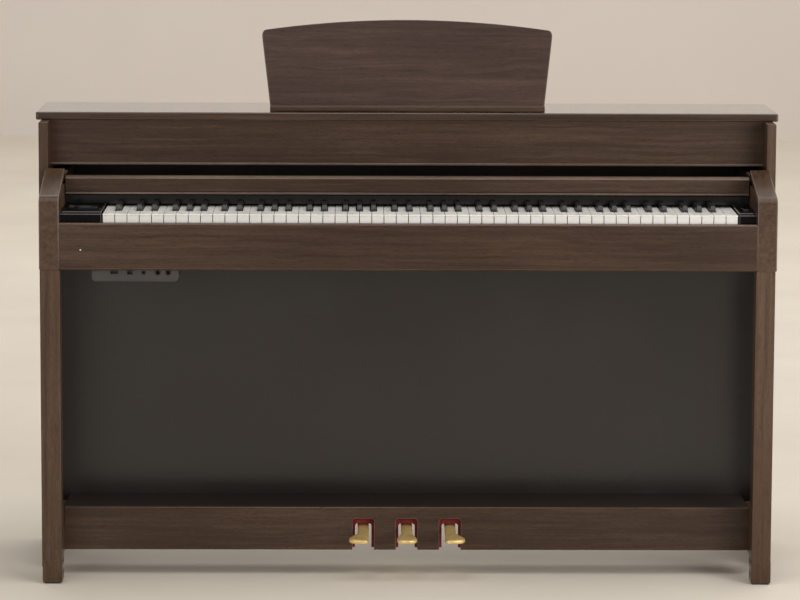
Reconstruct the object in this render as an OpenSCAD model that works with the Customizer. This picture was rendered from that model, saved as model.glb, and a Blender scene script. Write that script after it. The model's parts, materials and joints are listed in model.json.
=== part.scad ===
// Digital home piano on its stand.
// Front faces -Y, +X is the player's right, +Z is up, and the origin is on the floor
// under the middle of the lid's width and the middle of the whole depth.

/* [Cabinet] */
// Width over the lid
overall_w = 1461; // [1455:1:1500]
// Depth from the front of the arms to the back edge of the lid
overall_d = 459; // [455:1:500]
// Height of the lid's top face
lid_top_z = 898; // [896:1:930]
// Thickness of the lid
lid_t = 16; // [12:1:24]
// Distance of the lid's front edge behind the front of the arms
lid_front = 223; // [215:1:226]
// Width over the two side panels
side_w = 1441; // [1437:1:1445]
// Thickness of a side panel
side_t = 18; // [16:0.5:20]
// Distance of a side panel's front edge behind the front of the arms
side_front = 163; // [158:1:170]
// Distance of the upper front board behind the front of the arms
board_front = 230; // [227:1:240]
// Thickness of the flat boards
board_t = 15; // [12:1:18]

/* [Arms and legs] */
// Width over the two arms
arm_span = 1416; // [1412:1:1420]
// Width of one arm
arm_w = 38.5; // [36:0.5:42]
// Height of the arms' underside above the floor
bed_z = 613; // [605:1:620]
// Height of an arm's top just behind its front edge
arm_front_z = 755; // [750:1:757]
// Height of an arm's top where it meets the upper front board
arm_rear_z = 793; // [792:1:796]
// Width of a front leg
leg_w = 35; // [30:1:37]
// Depth of a front leg
leg_d = 46; // [40:1:60]
// Height of the foot at the bottom of a leg
foot_h = 47; // [40:1:60]

/* [Keyboard] */
// Pitch of the white keys
white_pitch = 23.5; // [23:0.1:23.6]
// Gap between two white keys
key_gap = 0.9; // [0.7:0.1:1.2]
// Height of the white keys' top face
key_top_z = 719; // [717:1:721]
// Distance of the white keys' fronts behind the front of the arms
key_front = 23; // [21:0.5:26]
// Distance of the keyboard's middle to the right of the cabinet's middle
keyboard_shift = 23.5; // [18:0.5:26]
// Width of a black key
black_w = 11; // [9:0.5:12]
// Height of a black key over the white ones
black_h = 12; // [10:0.5:13]
// How far a key's front goes down when it is pressed
key_dip = 10; // [8:0.5:11]

/* [Pedals] */
// Distance between neighbouring pedals
pedal_pitch = 85; // [80:1:95]
// Width of a pedal's arm
pedal_w = 22; // [18:1:26]
// Distance of the kick board behind the front of the arms
kick_front = 90; // [80:1:110]
// Height of the kick board's bottom edge
kick_bottom = 50; // [45:1:60]
// Height of the kick board's top edge
kick_top = 135; // [130:1:140]
// Width of a notch in the kick board
notch_w = 42; // [38:1:48]
// Height of the top of a notch
notch_top = 112; // [108:1:114]

/* [Key cover] */
// Radius at the underside of the cover's front rail, about the axis that it swings on
cover_r = 400; // [390:1:420]
// Height of the front rail
rail_h = 35.5; // [34:0.5:38]
// Depth of the front rail, front to back
rail_t = 18; // [16:1:18]
// Distance of the open rail behind the front of the arms
rail_front = 150; // [148:1:152]
// Height of the open rail's underside
rail_z = 744; // [744:0.5:747]

/* [Music rest] */
// Width of the plate at its top corners
rest_top_w = 578; // [520:1:600]
// Width of the plate at its bottom
rest_bottom_w = 541; // [500:1:560]
// Height of the plate at its side edges, along the plate
rest_side_h = 150; // [130:1:160]
// Height of the arched top above the side edges
rest_arch = 22; // [10:1:30]
// Thickness of the plate
rest_t = 15; // [10:1:16]
// How far the plate leans back from upright
rest_lean = 20; // [16:1:24]

/* [Hidden] */
$fn = 48;
WOOD = [0.24, 0.17, 0.13];
WOOD_DARK = [0.15, 0.11, 0.09];
BLACK = [0.03, 0.03, 0.035];
SATIN_BLACK = [0.13, 0.13, 0.13];
IVORY = [0.93, 0.92, 0.88];
BRASS = [0.78, 0.6, 0.28];
STEEL = [0.62, 0.63, 0.65];
FELT_RED = [0.55, 0.06, 0.1];
GREY = [0.3, 0.27, 0.25];
GREEN = [0.1, 0.33, 0.2];

// places along Y: the front of the arms is y0, and d(x) is x behind it
y0 = -overall_d / 2;
function d(x) = y0 + x;

lid_under = lid_top_z - lid_t;
side_in = side_w / 2 - side_t;
side_back = 455;
arm_out = arm_span / 2;
arm_in = arm_out - arm_w;
arm_back = 235;
arm_nose = 15;
arm_nose_d = 12;
arm_shelf_z = arm_rear_z - 10;
bed_t = 18;
bed_front = 18;
bed_back = 441;
bed_top = bed_z + bed_t;
back_t = 12;
slip_t = 18;
slip_top = 703.5;

// key mechanism
key_body_h = 19;
key_body_z = key_top_z - key_body_h;
nameboard_d = 175;
nameboard_t = 10;
nameboard_z = key_top_z + 3;
nameboard_top = 743;
key_tail_d = 243;
key_pivot_d = 235;
key_pivot_z = key_body_z + 9;
key_pivot_r = 2;
key_pivot_bore_r = key_pivot_r + 0.06;
black_front_d = 77;
black_slope = 6;
black_rear_d = nameboard_d - 1.5;
black_slot = black_w + 2.2;
whites = 52;
keys_left = keyboard_shift - whites * white_pitch / 2;
block_z = key_top_z + 5.5;
block_bevel = 5.5;
block_bevel_d = 10;
block_gap = 2;
// for each white key of an octave, from C: how far to the right of the line between it and the
// next white key the black key between them is set
SHARP_OFFSET = [-2.6, 2.6, 0, -3.6, 0, 3.6, 0];
// for each white key of an octave, from C: 1 where a black key follows it
HAS_SHARP = [1, 1, 0, 1, 1, 1, 0];
// the lowest key is an A, five white keys above C
lowest_key_step = 5;
// the white keys of the octave whose keys have nodes of their own
octave_first = 23;
octave_last = 29;
function step(k) = (k + lowest_key_step) % 7;
function white_x(k) = keys_left + k * white_pitch;
// a black key follows white key k, inside the keyboard
function sharp_after(k) = k >= 0 && k < whites - 1 && HAS_SHARP[step(k)] == 1;
function sharp_x(k) = white_x(k + 1) + SHARP_OFFSET[step(k)];

// key cover, which swings on an axis far below the keys
cover_axis_z = rail_z - cover_r;
cover_axis_d = rail_front;
cover_in_r = cover_r + 18;
cover_out_r = cover_r + 30;
cover_mid_r = (cover_in_r + cover_out_r) / 2;
cover_half_w = arm_in - 2;
cover_rear_deg = 34;
cover_tongue_deg = 1.2;
groove_half = 4.3;
groove_depth = 6;
roller_r = 4;
roller_pin_r = 2.5;
roller_pin_l = 20;
roller_front_deg = 5;
roller_rear_deg = 31;
groove_front_deg = 17.2;
guide_back = 405;
guide_top = 780;

// pedals
pedal_pivot_d = 215;
pedal_pivot_z = 88;
pedal_t = 8;
pedal_hub_r = 10;
pedal_shaft_r = 4;
pedal_toe_d = 13;
pedal_toe_z = 84;
pedal_lever_z = 98;
pedal_flare = 17;
box_back = 241;
box_t = 12;
back_board_t = 6;
back_board_bottom = 74;
ear_t = 3;
ear_x = [-pedal_pitch * 1.5 + 8, -pedal_pitch / 2, pedal_pitch / 2, pedal_pitch * 1.5 - 8];

// music rest: u runs up the plate and v out of its front, both from the hinge axis
rest_pivot_d = 272;
rest_pivot_z = lid_top_z + 9;
rest_back_v = 6;
rest_foot_u = -6;
rest_pin_r = 2.5;
rest_hinge_x = 200;
hinge_ear_t = 4;
ledge_front = 228;
ledge_back = 262;
ledge_z = [lid_top_z + 2, lid_top_z + 13];
stay_x = 140;
stay_half = 20;
stay_r = 2.5;
stay_len = 72;
stay_u = 60;
stay_v = rest_back_v - stay_r - 0.3;
stay_pivot_d = rest_pivot_d - stay_v * cos(rest_lean) + stay_u * sin(rest_lean);
stay_pivot_z = rest_pivot_z + stay_v * sin(rest_lean) + stay_u * cos(rest_lean);
stay_gap = 0.3;
stay_deg = acos((stay_pivot_z - lid_top_z - stay_gap - stay_r) / stay_len);

// panels and inlets
jack_left = -609;
jack_right = -442;
jack_bottom = 588;
jack_front = 25;
jack_back = 115;
jack_z = 606;
phone_x = [-482, -462];
phone_r = 3.25;
phone_depth = 14;
phone_body_r = 6.5;
round_x = -509;
round_r = 4.6;
socket_depth = 15;
// the corners, as [x, height], of the flat socket and the square one
FLAT_SOCKET = [[-573, jack_z - 3.5], [-558, jack_z + 4]];
SQUARE_SOCKET = [[-541, jack_z - 4.5], [-530, jack_z + 4.5]];
lamp_x = -628.5;
lamp_z = 652;
speaker_x = 360;
speaker_d = 142;
speaker_r = 72;
power_x = 653;
power_d = 60;
power_r = 6;
slider_x = -650;
slider_d = 75;
slot_half = 3;
slot_reach = 25;
slot_depth = 8;
display_x = [-638, -600];
display_d = [46, 106];
display_depth = 2;
inlet_x = -420;
inlet_z = 700;
inlet_w = 34;
inlet_h = 24;

// ---- helpers ----

// a box from its lowest corner to its highest, with Y given as distances behind the front
module slab(x, dd, z) {
    translate([x[0], d(dd[0]), z[0]])
        cube([x[1] - x[0], dd[1] - dd[0], z[1] - z[0]]);
}

// an outline of [distance behind the front, height] points, extruded along X
module profile_x(x, points) {
    translate([x[0], y0, 0])
        rotate([90, 0, 90])
            linear_extrude(height = x[1] - x[0])
                polygon(points);
}

// a cylinder along X about a point given as distance behind the front and height
module rod_x(x, dd, z, r) {
    translate([x[0], d(dd), z])
        rotate([0, 90, 0])
            cylinder(h = x[1] - x[0], r = r);
}

// part of a ring about an X axis, from angle a0 to a1, where 0 is straight up
// and positive angles lean to the front
module ring_x(x, dd, z, r_in, r_out, a0, a1) {
    translate([x[1], d(dd), z])
        rotate([a1, 0, 0])
            rotate([0, -90, 0])
                rotate_extrude(angle = a1 - a0, $fn = 180)
                    translate([r_in, 0])
                        square([r_out - r_in, x[1] - x[0]]);
}

// the same thing on the left and right, where side is -1 or 1
module on_side(side) {
    if (side > 0)
        children();
    else
        mirror([1, 0, 0])
            children();
}

// ---- cabinet ----

module side_panel(side) {
    color(WOOD)
        on_side(side)
            slab([side_in, side_w / 2], [side_front, side_back], [0, lid_under]);
}

// a front leg with its slightly wider foot
module front_leg(side) {
    foot_out = 1.5;
    leg_back_step = 1;
    color(WOOD)
        on_side(side)
            union() {
                slab([arm_in, arm_in + leg_w], [1, leg_d], [foot_h, bed_z]);
                slab([arm_in - foot_out, arm_in + leg_w + foot_out],
                     [0, leg_d + leg_back_step], [0, foot_h]);
            }
}

// the rails that join the legs' feet to the side panels behind them
module toes() {
    inset = 3;
    color(WOOD_DARK)
        for (side = [-1, 1])
            on_side(side)
                slab([arm_in + 0.5, arm_in + leg_w - inset], [leg_d + 1, side_front],
                     [foot_h, kick_top]);
}

// the outline of an arm seen from the side, from its bottom front corner over the chamfered nose
// to where its sloping top meets the side panel
ARM_OUTLINE = [[0, bed_z], [0, arm_front_z - arm_nose], [arm_nose_d, arm_front_z],
               [side_front, arm_rear_z]];

// the curved groove that the key cover's rollers run in
module cover_groove() {
    ring_x([arm_in - 1, arm_in + groove_depth], cover_axis_d, cover_axis_z,
           cover_mid_r - groove_half, cover_mid_r + groove_half,
           -cover_rear_deg, groove_front_deg);
}

// an arm, which goes on as a lower shelf inside the side panel
module key_arm(side) {
    color(WOOD)
        on_side(side)
            difference() {
                union() {
                    profile_x([arm_in, side_in],
                              concat(ARM_OUTLINE,
                                     [[side_front, arm_shelf_z], [arm_back, arm_shelf_z],
                                      [arm_back, bed_z]]));
                    profile_x([side_in, arm_out],
                              concat(ARM_OUTLINE, [[side_front, bed_z]]));
                }
                cover_groove();
            }
}

// the blocks inside the case that carry the groove on from the arms
module cover_guides() {
    color(WOOD_DARK)
        for (side = [-1, 1])
            on_side(side)
                difference() {
                    slab([arm_in, side_in], [arm_back, guide_back], [bed_z, guide_top]);
                    cover_groove();
                }
}

module top_lid() {
    color(WOOD)
        slab([-overall_w / 2, overall_w / 2], [lid_front, overall_d], [lid_under, lid_top_z]);
}

module upper_front_board() {
    color(WOOD)
        slab([-side_in, side_in], [board_front, board_front + board_t],
             [arm_rear_z, lid_under]);
}

module cabinet_back() {
    color(SATIN_BLACK)
        difference() {
            slab([-side_in, side_in], [bed_back, bed_back + back_t], [bed_z, lid_under]);
            slab([inlet_x - inlet_w / 2, inlet_x + inlet_w / 2],
                 [bed_back - 1, bed_back + back_t + 1],
                 [inlet_z - inlet_h / 2, inlet_z + inlet_h / 2]);
        }
}

module keybed() {
    color(WOOD_DARK)
        difference() {
            slab([-arm_in, arm_in], [bed_front, bed_back], [bed_z, bed_top]);
            for (side = [-1, 1])
                translate([side * speaker_x, d(speaker_d), bed_z - 1])
                    cylinder(h = bed_t + 2, r = speaker_r - 8);
        }
}

module key_slip() {
    color(WOOD)
        difference() {
            slab([-arm_in, arm_in], [0.5, slip_t], [bed_z, slip_top]);
            translate([lamp_x, d(0), lamp_z])
                rotate([-90, 0, 0])
                    cylinder(h = 10, r = 2);
        }
}

module back_board() {
    color(SATIN_BLACK)
        slab([-side_in, side_in], [box_back, box_back + back_board_t],
             [back_board_bottom, bed_z]);
}

// ---- pedal box ----

module kick_board() {
    round_r = 6;
    color(WOOD)
        translate([0, d(kick_front) + board_t, 0])
            rotate([90, 0, 0])
                linear_extrude(height = board_t)
                    difference() {
                        translate([-arm_in, kick_bottom])
                            square([2 * arm_in, kick_top - kick_bottom]);
                        for (i = [-1 : 1])
                            translate([i * pedal_pitch, 0])
                                notch_outline(round_r);
                    }
}

// a notch open at the bottom, with two round corners at the top
module notch_outline(r) {
    translate([-notch_w / 2, kick_bottom - 1])
        square([notch_w, notch_top - r - kick_bottom + 1]);
    translate([-notch_w / 2 + r, kick_bottom])
        square([notch_w - 2 * r, notch_top - kick_bottom]);
    for (s = [-1, 1])
        translate([s * (notch_w / 2 - r), notch_top - r])
            circle(r = r);
}

module pedal_box_top() {
    color(WOOD_DARK)
        slab([-arm_in, arm_in], [kick_front + board_t, box_back],
             [kick_top - box_t, kick_top]);
}

// felt collars on the back of the kick board, round the top and the sides of each notch
module pedal_felts() {
    lip = 5;
    foot = 2;
    thick = 4;
    color(FELT_RED)
        for (i = [-1 : 1])
            translate([i * pedal_pitch, 0, 0])
                difference() {
                    slab([-notch_w / 2 - 6, notch_w / 2 + 6],
                         [kick_front + board_t, kick_front + board_t + thick],
                         [kick_bottom + foot, notch_top + 8]);
                    slab([-notch_w / 2 + lip, notch_w / 2 - lip],
                         [kick_front, kick_front + board_t + thick + 1],
                         [kick_bottom, pedal_lever_z + 1.5]);
                }
}

// the plan of a pedal's front plate from its toe at v = 0 back to the kick board
// left and right are how far the toe flares past the arm on each side
module pedal_plan(left, right) {
    half = pedal_w / 2;
    length = kick_front - pedal_toe_d + 4;
    corner = 4;
    shoulder_v = 6;
    widest_v = 16;
    flare_end_v = 44;
    polygon([[-half, length], [-half, flare_end_v], [-half - left, widest_v],
             [-half - left + 3, shoulder_v], [-half + corner, 0], [half - corner, 0],
             [half + right - 3, shoulder_v], [half + right, widest_v],
             [half, flare_end_v], [half, length]]);
}

// side is -1, 0 or 1 for the left, middle and right pedal
module pedal(side) {
    left = side < 0 ? pedal_flare : side == 0 ? pedal_flare / 2 : 0;
    right = side > 0 ? pedal_flare : side == 0 ? pedal_flare / 2 : 0;
    slope = atan((pedal_lever_z - pedal_toe_z) / (kick_front - pedal_toe_d));
    color(BRASS)
        translate([side * pedal_pitch, 0, 0])
            difference() {
                union() {
                    translate([0, d(pedal_toe_d), pedal_toe_z - pedal_t])
                        rotate([slope, 0, 0])
                            linear_extrude(height = pedal_t)
                                pedal_plan(left, right);
                    slab([-pedal_w / 2, pedal_w / 2], [kick_front - 4, pedal_pivot_d],
                         [pedal_lever_z - pedal_t, pedal_lever_z]);
                    rod_x([-pedal_w / 2, pedal_w / 2], pedal_pivot_d, pedal_pivot_z,
                          pedal_hub_r);
                }
                rod_x([-pedal_w, pedal_w], pedal_pivot_d, pedal_pivot_z,
                      pedal_shaft_r + 0.06);
            }
}

// a folded steel hanger screwed under the box top, with four ears for the shaft
module pedal_bracket() {
    plate_t = 3;
    half = ear_x[3] + 6;
    ear_half_d = 16;
    color(STEEL)
        difference() {
            union() {
                slab([-half, half], [pedal_pivot_d - 25, pedal_pivot_d + 20],
                     [kick_top - box_t - plate_t, kick_top - box_t]);
                for (x = ear_x)
                    slab([x - ear_t / 2, x + ear_t / 2],
                         [pedal_pivot_d - ear_half_d, pedal_pivot_d + ear_half_d],
                         [pedal_pivot_z - 16, kick_top - box_t - plate_t]);
            }
            rod_x([-half - 1, half + 1], pedal_pivot_d, pedal_pivot_z, pedal_shaft_r);
        }
}

module pedal_shaft() {
    color(STEEL)
        rod_x([ear_x[0] - 8, ear_x[3] + 8], pedal_pivot_d, pedal_pivot_z, pedal_shaft_r);
}

// torsion springs on the shaft beside each pedal, each with one straight leg
module pedal_springs() {
    wire_r = 1.3;
    coil_r = pedal_shaft_r + 2.4;
    turns = 5;
    pitch = 2.4;
    color(STEEL)
        for (i = [-1 : 1])
            translate([i * pedal_pitch + pedal_w / 2 + 4, d(pedal_pivot_d), pedal_pivot_z])
                union() {
                    rotate([0, 90, 0])
                        for (k = [0 : turns - 1])
                            translate([0, 0, k * pitch])
                                rotate_extrude()
                                    translate([coil_r, 0])
                                        circle(r = wire_r, $fn = 16);
                    translate([(turns - 1) * pitch, 0, coil_r])
                        rotate([90, 0, 0])
                            cylinder(h = 34, r = wire_r, $fn = 16);
                }
}

// ---- keyboard ----

// the outline of white key k: full width in front and cut back beside the black keys
module white_plan(k) {
    left = white_x(k) + key_gap / 2;
    right = white_x(k + 1) - key_gap / 2;
    tail_left = sharp_after(k - 1) ? sharp_x(k - 1) + black_slot / 2 : left;
    tail_right = sharp_after(k) ? sharp_x(k) - black_slot / 2 : right;
    shoulder = black_front_d - 1.2;
    polygon([[left, key_front], [right, key_front], [right, shoulder],
             [tail_right, shoulder], [tail_right, key_tail_d], [tail_left, key_tail_d],
             [tail_left, shoulder], [left, shoulder]]);
}

// the bore that a key rocks on, through the tail of the key whose middle is at x
module key_bore(x) {
    rod_x([x - white_pitch, x + white_pitch], key_pivot_d, key_pivot_z, key_pivot_bore_r);
}

module white_key(k) {
    color(IVORY)
        difference() {
            translate([0, y0, key_body_z])
                linear_extrude(height = key_body_h)
                    white_plan(k);
            key_bore(white_x(k + 0.5));
        }
}

// the black key that follows white key k
module black_key(k) {
    x = sharp_x(k);
    color(BLACK)
        difference() {
            profile_x([x - black_w / 2, x + black_w / 2],
                      [[black_front_d, key_body_z], [black_front_d, key_top_z + 1],
                       [black_front_d + black_slope, key_top_z + black_h],
                       [black_rear_d, key_top_z + black_h], [black_rear_d, key_top_z],
                       [key_tail_d, key_top_z], [key_tail_d, key_body_z]]);
            key_bore(x);
        }
}

// all white keys but the octave that has nodes of its own
module white_keys() {
    for (k = [0 : whites - 1])
        if (k < octave_first || k > octave_last)
            white_key(k);
}

module black_keys() {
    for (k = [0 : whites - 2])
        if (sharp_after(k) && (k < octave_first || k > octave_last))
            black_key(k);
}

// the chassis under the keys: a base, a front stop rail, and a rear rail between two posts
// that hold the rod that the keys rock on
module key_frame() {
    base_t = 6;
    post_t = 5;
    rail_half = 6;
    x = [keys_left - 1, keys_left + whites * white_pitch + 1];
    color(STEEL)
        difference() {
            union() {
                slab(x, [30, 260], [bed_top, bed_top + base_t]);
                slab(x, [50, 62], [bed_top, key_body_z - key_dip - 3]);
                slab(x, [key_pivot_d - rail_half, key_pivot_d + rail_half],
                     [bed_top, key_body_z - 0.6]);
                for (left = [x[0] - post_t, x[1]])
                    slab([left, left + post_t],
                         [key_pivot_d - rail_half, key_pivot_d + rail_half],
                         [bed_top, key_pivot_z + rail_half]);
                rod_x([x[0] - 1, x[1] + 1], key_pivot_d, key_pivot_z, key_pivot_r);
            }
            for (side = [-1, 1])
                translate([side * speaker_x, d(speaker_d), bed_top - 1])
                    cylinder(h = base_t + 2, r = speaker_r - 4);
        }
}

module nameboard() {
    color(BLACK)
        slab([-arm_in, arm_in], [nameboard_d, nameboard_d + nameboard_t],
             [nameboard_z, nameboard_top]);
}

// a block beside the keys, beveled along its front so that the closing cover clears it
module end_block(x) {
    front = bed_front + 1;
    profile_x(x, [[front, bed_top], [front, block_z - block_bevel],
                  [front + block_bevel_d, block_z], [nameboard_d, block_z],
                  [nameboard_d, bed_top]]);
}

// the control panel block at the bass end, with pockets for the display and the slider
module end_block_left() {
    color(BLACK)
        difference() {
            end_block([-arm_in, keys_left - block_gap]);
            slab([slider_x - slot_half, slider_x + slot_half],
                 [slider_d - slot_reach, slider_d + slot_reach],
                 [block_z - slot_depth, block_z + 1]);
            slab(display_x, display_d, [block_z - display_depth, block_z + 1]);
        }
}

module end_block_right() {
    color(BLACK)
        difference() {
            end_block([keys_left + whites * white_pitch + block_gap, arm_in]);
            translate([power_x, d(power_d), block_z - slot_depth])
                cylinder(h = slot_depth + 1, r = power_r + 0.4);
        }
}

module panel_display() {
    gap = 0.5;
    color(SATIN_BLACK)
        slab([display_x[0] + gap, display_x[1] - gap], [display_d[0] + gap, display_d[1] - gap],
             [block_z - display_depth, block_z - gap]);
}

// a cap on a narrow stem that runs in the slot
module volume_slider() {
    stem_half = 2.2;
    cap_half = 5;
    color(GREY)
        union() {
            slab([slider_x - stem_half, slider_x + stem_half], [slider_d - 4, slider_d + 4],
                 [block_z - slot_depth + 1, block_z + 1]);
            slab([slider_x - cap_half, slider_x + cap_half], [slider_d - 6, slider_d + 6],
                 [block_z + 0.5, block_z + 5]);
        }
}

module power_button() {
    color(GREY)
        translate([power_x, d(power_d), block_z - 5.5])
            cylinder(h = 7.5, r = power_r);
}

// ---- key cover ----

// the curved sheet, from its rear edge to the tongue that goes into the rail
module cover_sheet() {
    ring_x([-cover_half_w, cover_half_w], cover_axis_d, cover_axis_z, cover_in_r, cover_out_r,
           -cover_rear_deg, -cover_tongue_deg);
}

module key_cover_panel() {
    color(WOOD_DARK)
        difference() {
            cover_sheet();
            for (side = [-1, 1])
                on_side(side)
                    roller_pins();
        }
}

// where the rollers' pins go into the ends of the panel
module roller_pins() {
    for (a = [roller_front_deg, roller_rear_deg])
        rod_x([cover_half_w - roller_pin_l, cover_half_w + 1],
              cover_axis_d + cover_mid_r * sin(a), cover_axis_z + cover_mid_r * cos(a),
              roller_pin_r);
}

module cover_rollers() {
    color(BLACK)
        for (side = [-1, 1])
            for (a = [roller_front_deg, roller_rear_deg])
                on_side(side)
                    union() {
                        rod_x([cover_half_w - roller_pin_l, cover_half_w + 1],
                              cover_axis_d + cover_mid_r * sin(a),
                              cover_axis_z + cover_mid_r * cos(a), roller_pin_r);
                        rod_x([cover_half_w + 0.6, arm_in + groove_depth - 0.6],
                              cover_axis_d + cover_mid_r * sin(a),
                              cover_axis_z + cover_mid_r * cos(a), roller_r);
                    }
}

// the rail across the front of the cover, with a finger groove above its lower lip
module key_cover_rail() {
    lip_h = 5.5;
    finger_h = 5.5;
    finger_d = 4;
    bevel = 6;
    far = rail_front + rail_t;
    top = rail_z + rail_h;
    color(WOOD)
        difference() {
            profile_x([-cover_half_w, cover_half_w],
                      [[rail_front, rail_z], [rail_front, rail_z + lip_h],
                       [rail_front + finger_d, rail_z + lip_h],
                       [rail_front + finger_d, rail_z + lip_h + finger_h],
                       [rail_front, rail_z + lip_h + finger_h], [rail_front, top - bevel],
                       [rail_front + bevel / 3, top - bevel / 3],
                       [rail_front + bevel, top], [far, top], [far, rail_z]]);
            cover_sheet();
        }
}

// ---- music rest ----

// places its children in the plate's own plane: Z is u and -Y is v
module rest_plane() {
    translate([0, d(rest_pivot_d), rest_pivot_z])
        rotate([-rest_lean, 0, 0])
            children();
}

// half of the plate's chord and the radius of the arc over its top
rest_half = rest_top_w / 2;
arch_r = (rest_half * rest_half + rest_arch * rest_arch) / (2 * rest_arch);

module rest_outline() {
    bottom = rest_bottom_w / 2;
    intersection() {
        polygon([[-bottom, rest_foot_u], [bottom, rest_foot_u], [rest_half, rest_side_h],
                 [rest_half, rest_side_h + rest_arch + 1],
                 [-rest_half, rest_side_h + rest_arch + 1], [-rest_half, rest_side_h]]);
        translate([0, rest_side_h + rest_arch - arch_r])
            circle(r = arch_r, $fn = 360);
    }
}

module music_rest_plate() {
    color(WOOD)
        rest_plane()
            translate([0, -rest_back_v, 0])
                rotate([90, 0, 0])
                    linear_extrude(height = rest_t)
                        rest_outline();
}

// the ledge that sheet music stands on, level in front of the plate's foot
module music_rest_ledge() {
    half = rest_bottom_w / 2;
    color(WOOD)
        difference() {
            slab([-half, half], [ledge_front, ledge_back], ledge_z);
            rest_plane()
                translate([-half - 1, -rest_back_v - rest_t, -30])
                    cube([2 * half + 2, 60, 60]);
        }
}

// leaves on the lid, each with two ears and a pin between them
module rest_hinges() {
    leaf_t = 2;
    ear = hinge_ear_t;
    color(STEEL)
        for (side = [-1, 1])
            on_side(side)
                union() {
                    slab([rest_hinge_x - 14, rest_hinge_x + 14],
                         [rest_pivot_d - 4, rest_pivot_d + 22],
                         [lid_top_z, lid_top_z + leaf_t]);
                    for (x = [rest_hinge_x - 2 * ear, rest_hinge_x + ear]) {
                        slab([x, x + ear], [rest_pivot_d - 4, rest_pivot_d + 4],
                             [lid_top_z, rest_pivot_z]);
                        rod_x([x, x + ear], rest_pivot_d, rest_pivot_z, 4);
                    }
                    rod_x([rest_hinge_x - 2 * ear, rest_hinge_x + 2 * ear],
                          rest_pivot_d, rest_pivot_z, rest_pin_r);
                }
}

// what is screwed to the plate's back: a lug on each hinge pin and a clip for each stay
module rest_brackets() {
    lug_half = 3.4;
    clip_half = 6;
    color(STEEL)
        for (side = [-1, 1])
            on_side(side)
                rest_plane()
                    union() {
                        difference() {
                            union() {
                                rotate([0, 90, 0])
                                    translate([0, 0, rest_hinge_x - lug_half])
                                        cylinder(h = 2 * lug_half, r = 5);
                                translate([rest_hinge_x - lug_half, -rest_back_v, 0])
                                    cube([2 * lug_half, rest_back_v + 2, 34]);
                            }
                            rotate([0, 90, 0])
                                translate([0, 0, rest_hinge_x - 20])
                                    cylinder(h = 40, r = rest_pin_r + 0.06);
                        }
                        difference() {
                            translate([stay_x - clip_half, -rest_back_v, stay_u - clip_half])
                                cube([2 * clip_half, rest_back_v + 1, 2 * clip_half]);
                            translate([stay_x - 20, -stay_v, stay_u])
                                rotate([0, 90, 0])
                                    cylinder(h = 40, r = stay_r + 0.06);
                        }
                    }
}

// wire loops that swing on the plate's back and prop it up from the lid
module rest_stays() {
    color(STEEL)
        for (side = [-1, 1])
            on_side(side)
                translate([stay_x, d(stay_pivot_d), stay_pivot_z])
                    rotate([stay_deg, 0, 0])
                        union() {
                            for (z = [-stay_len, 0])
                                translate([-stay_half, 0, z])
                                    rotate([0, 90, 0])
                                        cylinder(h = 2 * stay_half, r = stay_r);
                            for (x = [-stay_half, stay_half])
                                translate([x, 0, -stay_len])
                                    cylinder(h = stay_len, r = stay_r);
                            for (x = [-stay_half, stay_half])
                                for (z = [-stay_len, 0])
                                    translate([x, 0, z])
                                        sphere(r = stay_r);
                        }
}

// ---- electrics ----

module jack_box() {
    r = 8;
    color(GREY)
        difference() {
            translate([0, d(jack_back), 0])
                rotate([90, 0, 0])
                    linear_extrude(height = jack_back - jack_front)
                        union() {
                            translate([jack_left, jack_bottom + r])
                                square([jack_right - jack_left, bed_z - jack_bottom - r]);
                            translate([jack_left + r, jack_bottom])
                                square([jack_right - jack_left - 2 * r, r + 1]);
                            for (x = [jack_left + r, jack_right - r])
                                translate([x, jack_bottom + r])
                                    circle(r = r);
                        }
            for (x = phone_x)
                socket_rod(x, phone_body_r, [-1, socket_depth]);
            socket_rod(round_x, round_r, [-1, socket_depth]);
            for (corners = [FLAT_SOCKET, SQUARE_SOCKET])
                socket_block(corners, 0, [-1, socket_depth]);
        }
}

// a round rod into the jack box, from dd[0] to dd[1] behind its face
module socket_rod(x, r, dd) {
    translate([x, d(jack_front + dd[0]), jack_z])
        rotate([-90, 0, 0])
            cylinder(h = dd[1] - dd[0], r = r);
}

// a block into the jack box, smaller all round by wall
module socket_block(corners, wall, dd) {
    low = corners[0];
    high = corners[1];
    slab([low[0] + wall, high[0] - wall], [jack_front + dd[0], jack_front + dd[1]],
         [low[1] + wall, high[1] - wall]);
}

// the sockets set into the box: two for headphones, one round, one square and one flat
module jack_sockets() {
    collar = 1.5;
    recess = 3;
    color(BLACK)
        union() {
            for (x = phone_x)
                difference() {
                    socket_rod(x, phone_body_r, [-collar, socket_depth]);
                    socket_rod(x, phone_r, [-collar - 1, phone_depth - 0.5]);
                }
            difference() {
                socket_rod(round_x, round_r, [-0.5, socket_depth]);
                socket_rod(round_x, 1.8, [-1, recess]);
            }
            for (corners = [FLAT_SOCKET, SQUARE_SOCKET])
                difference() {
                    socket_block(corners, 0, [0, socket_depth]);
                    socket_block(corners, 1, [-1, recess]);
                }
        }
}

module power_lamp() {
    color([0.85, 0.8, 0.75])
        translate([lamp_x, d(0.2), lamp_z])
            rotate([-90, 0, 0])
                cylinder(h = 9.8, r = 2);
}

// a pair of loudspeakers set in the keybed, facing down
module speakers() {
    cone_r = speaker_r - 9;
    color(SATIN_BLACK)
        for (side = [-1, 1])
            translate([side * speaker_x, d(speaker_d), bed_z])
                union() {
                    translate([0, 0, 4])
                        cylinder(h = bed_t - 4, r = cone_r);
                    translate([0, 0, bed_t - 1])
                        cylinder(h = 11, r = cone_r * 0.7);
                    translate([0, 0, bed_t + 9])
                        cylinder(h = 12, r = cone_r * 0.55);
                }
}

module speaker_grilles() {
    color(BLACK)
        for (side = [-1, 1])
            translate([side * speaker_x, d(speaker_d), bed_z - 5])
                cylinder(h = 5, r = speaker_r);
}

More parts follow.
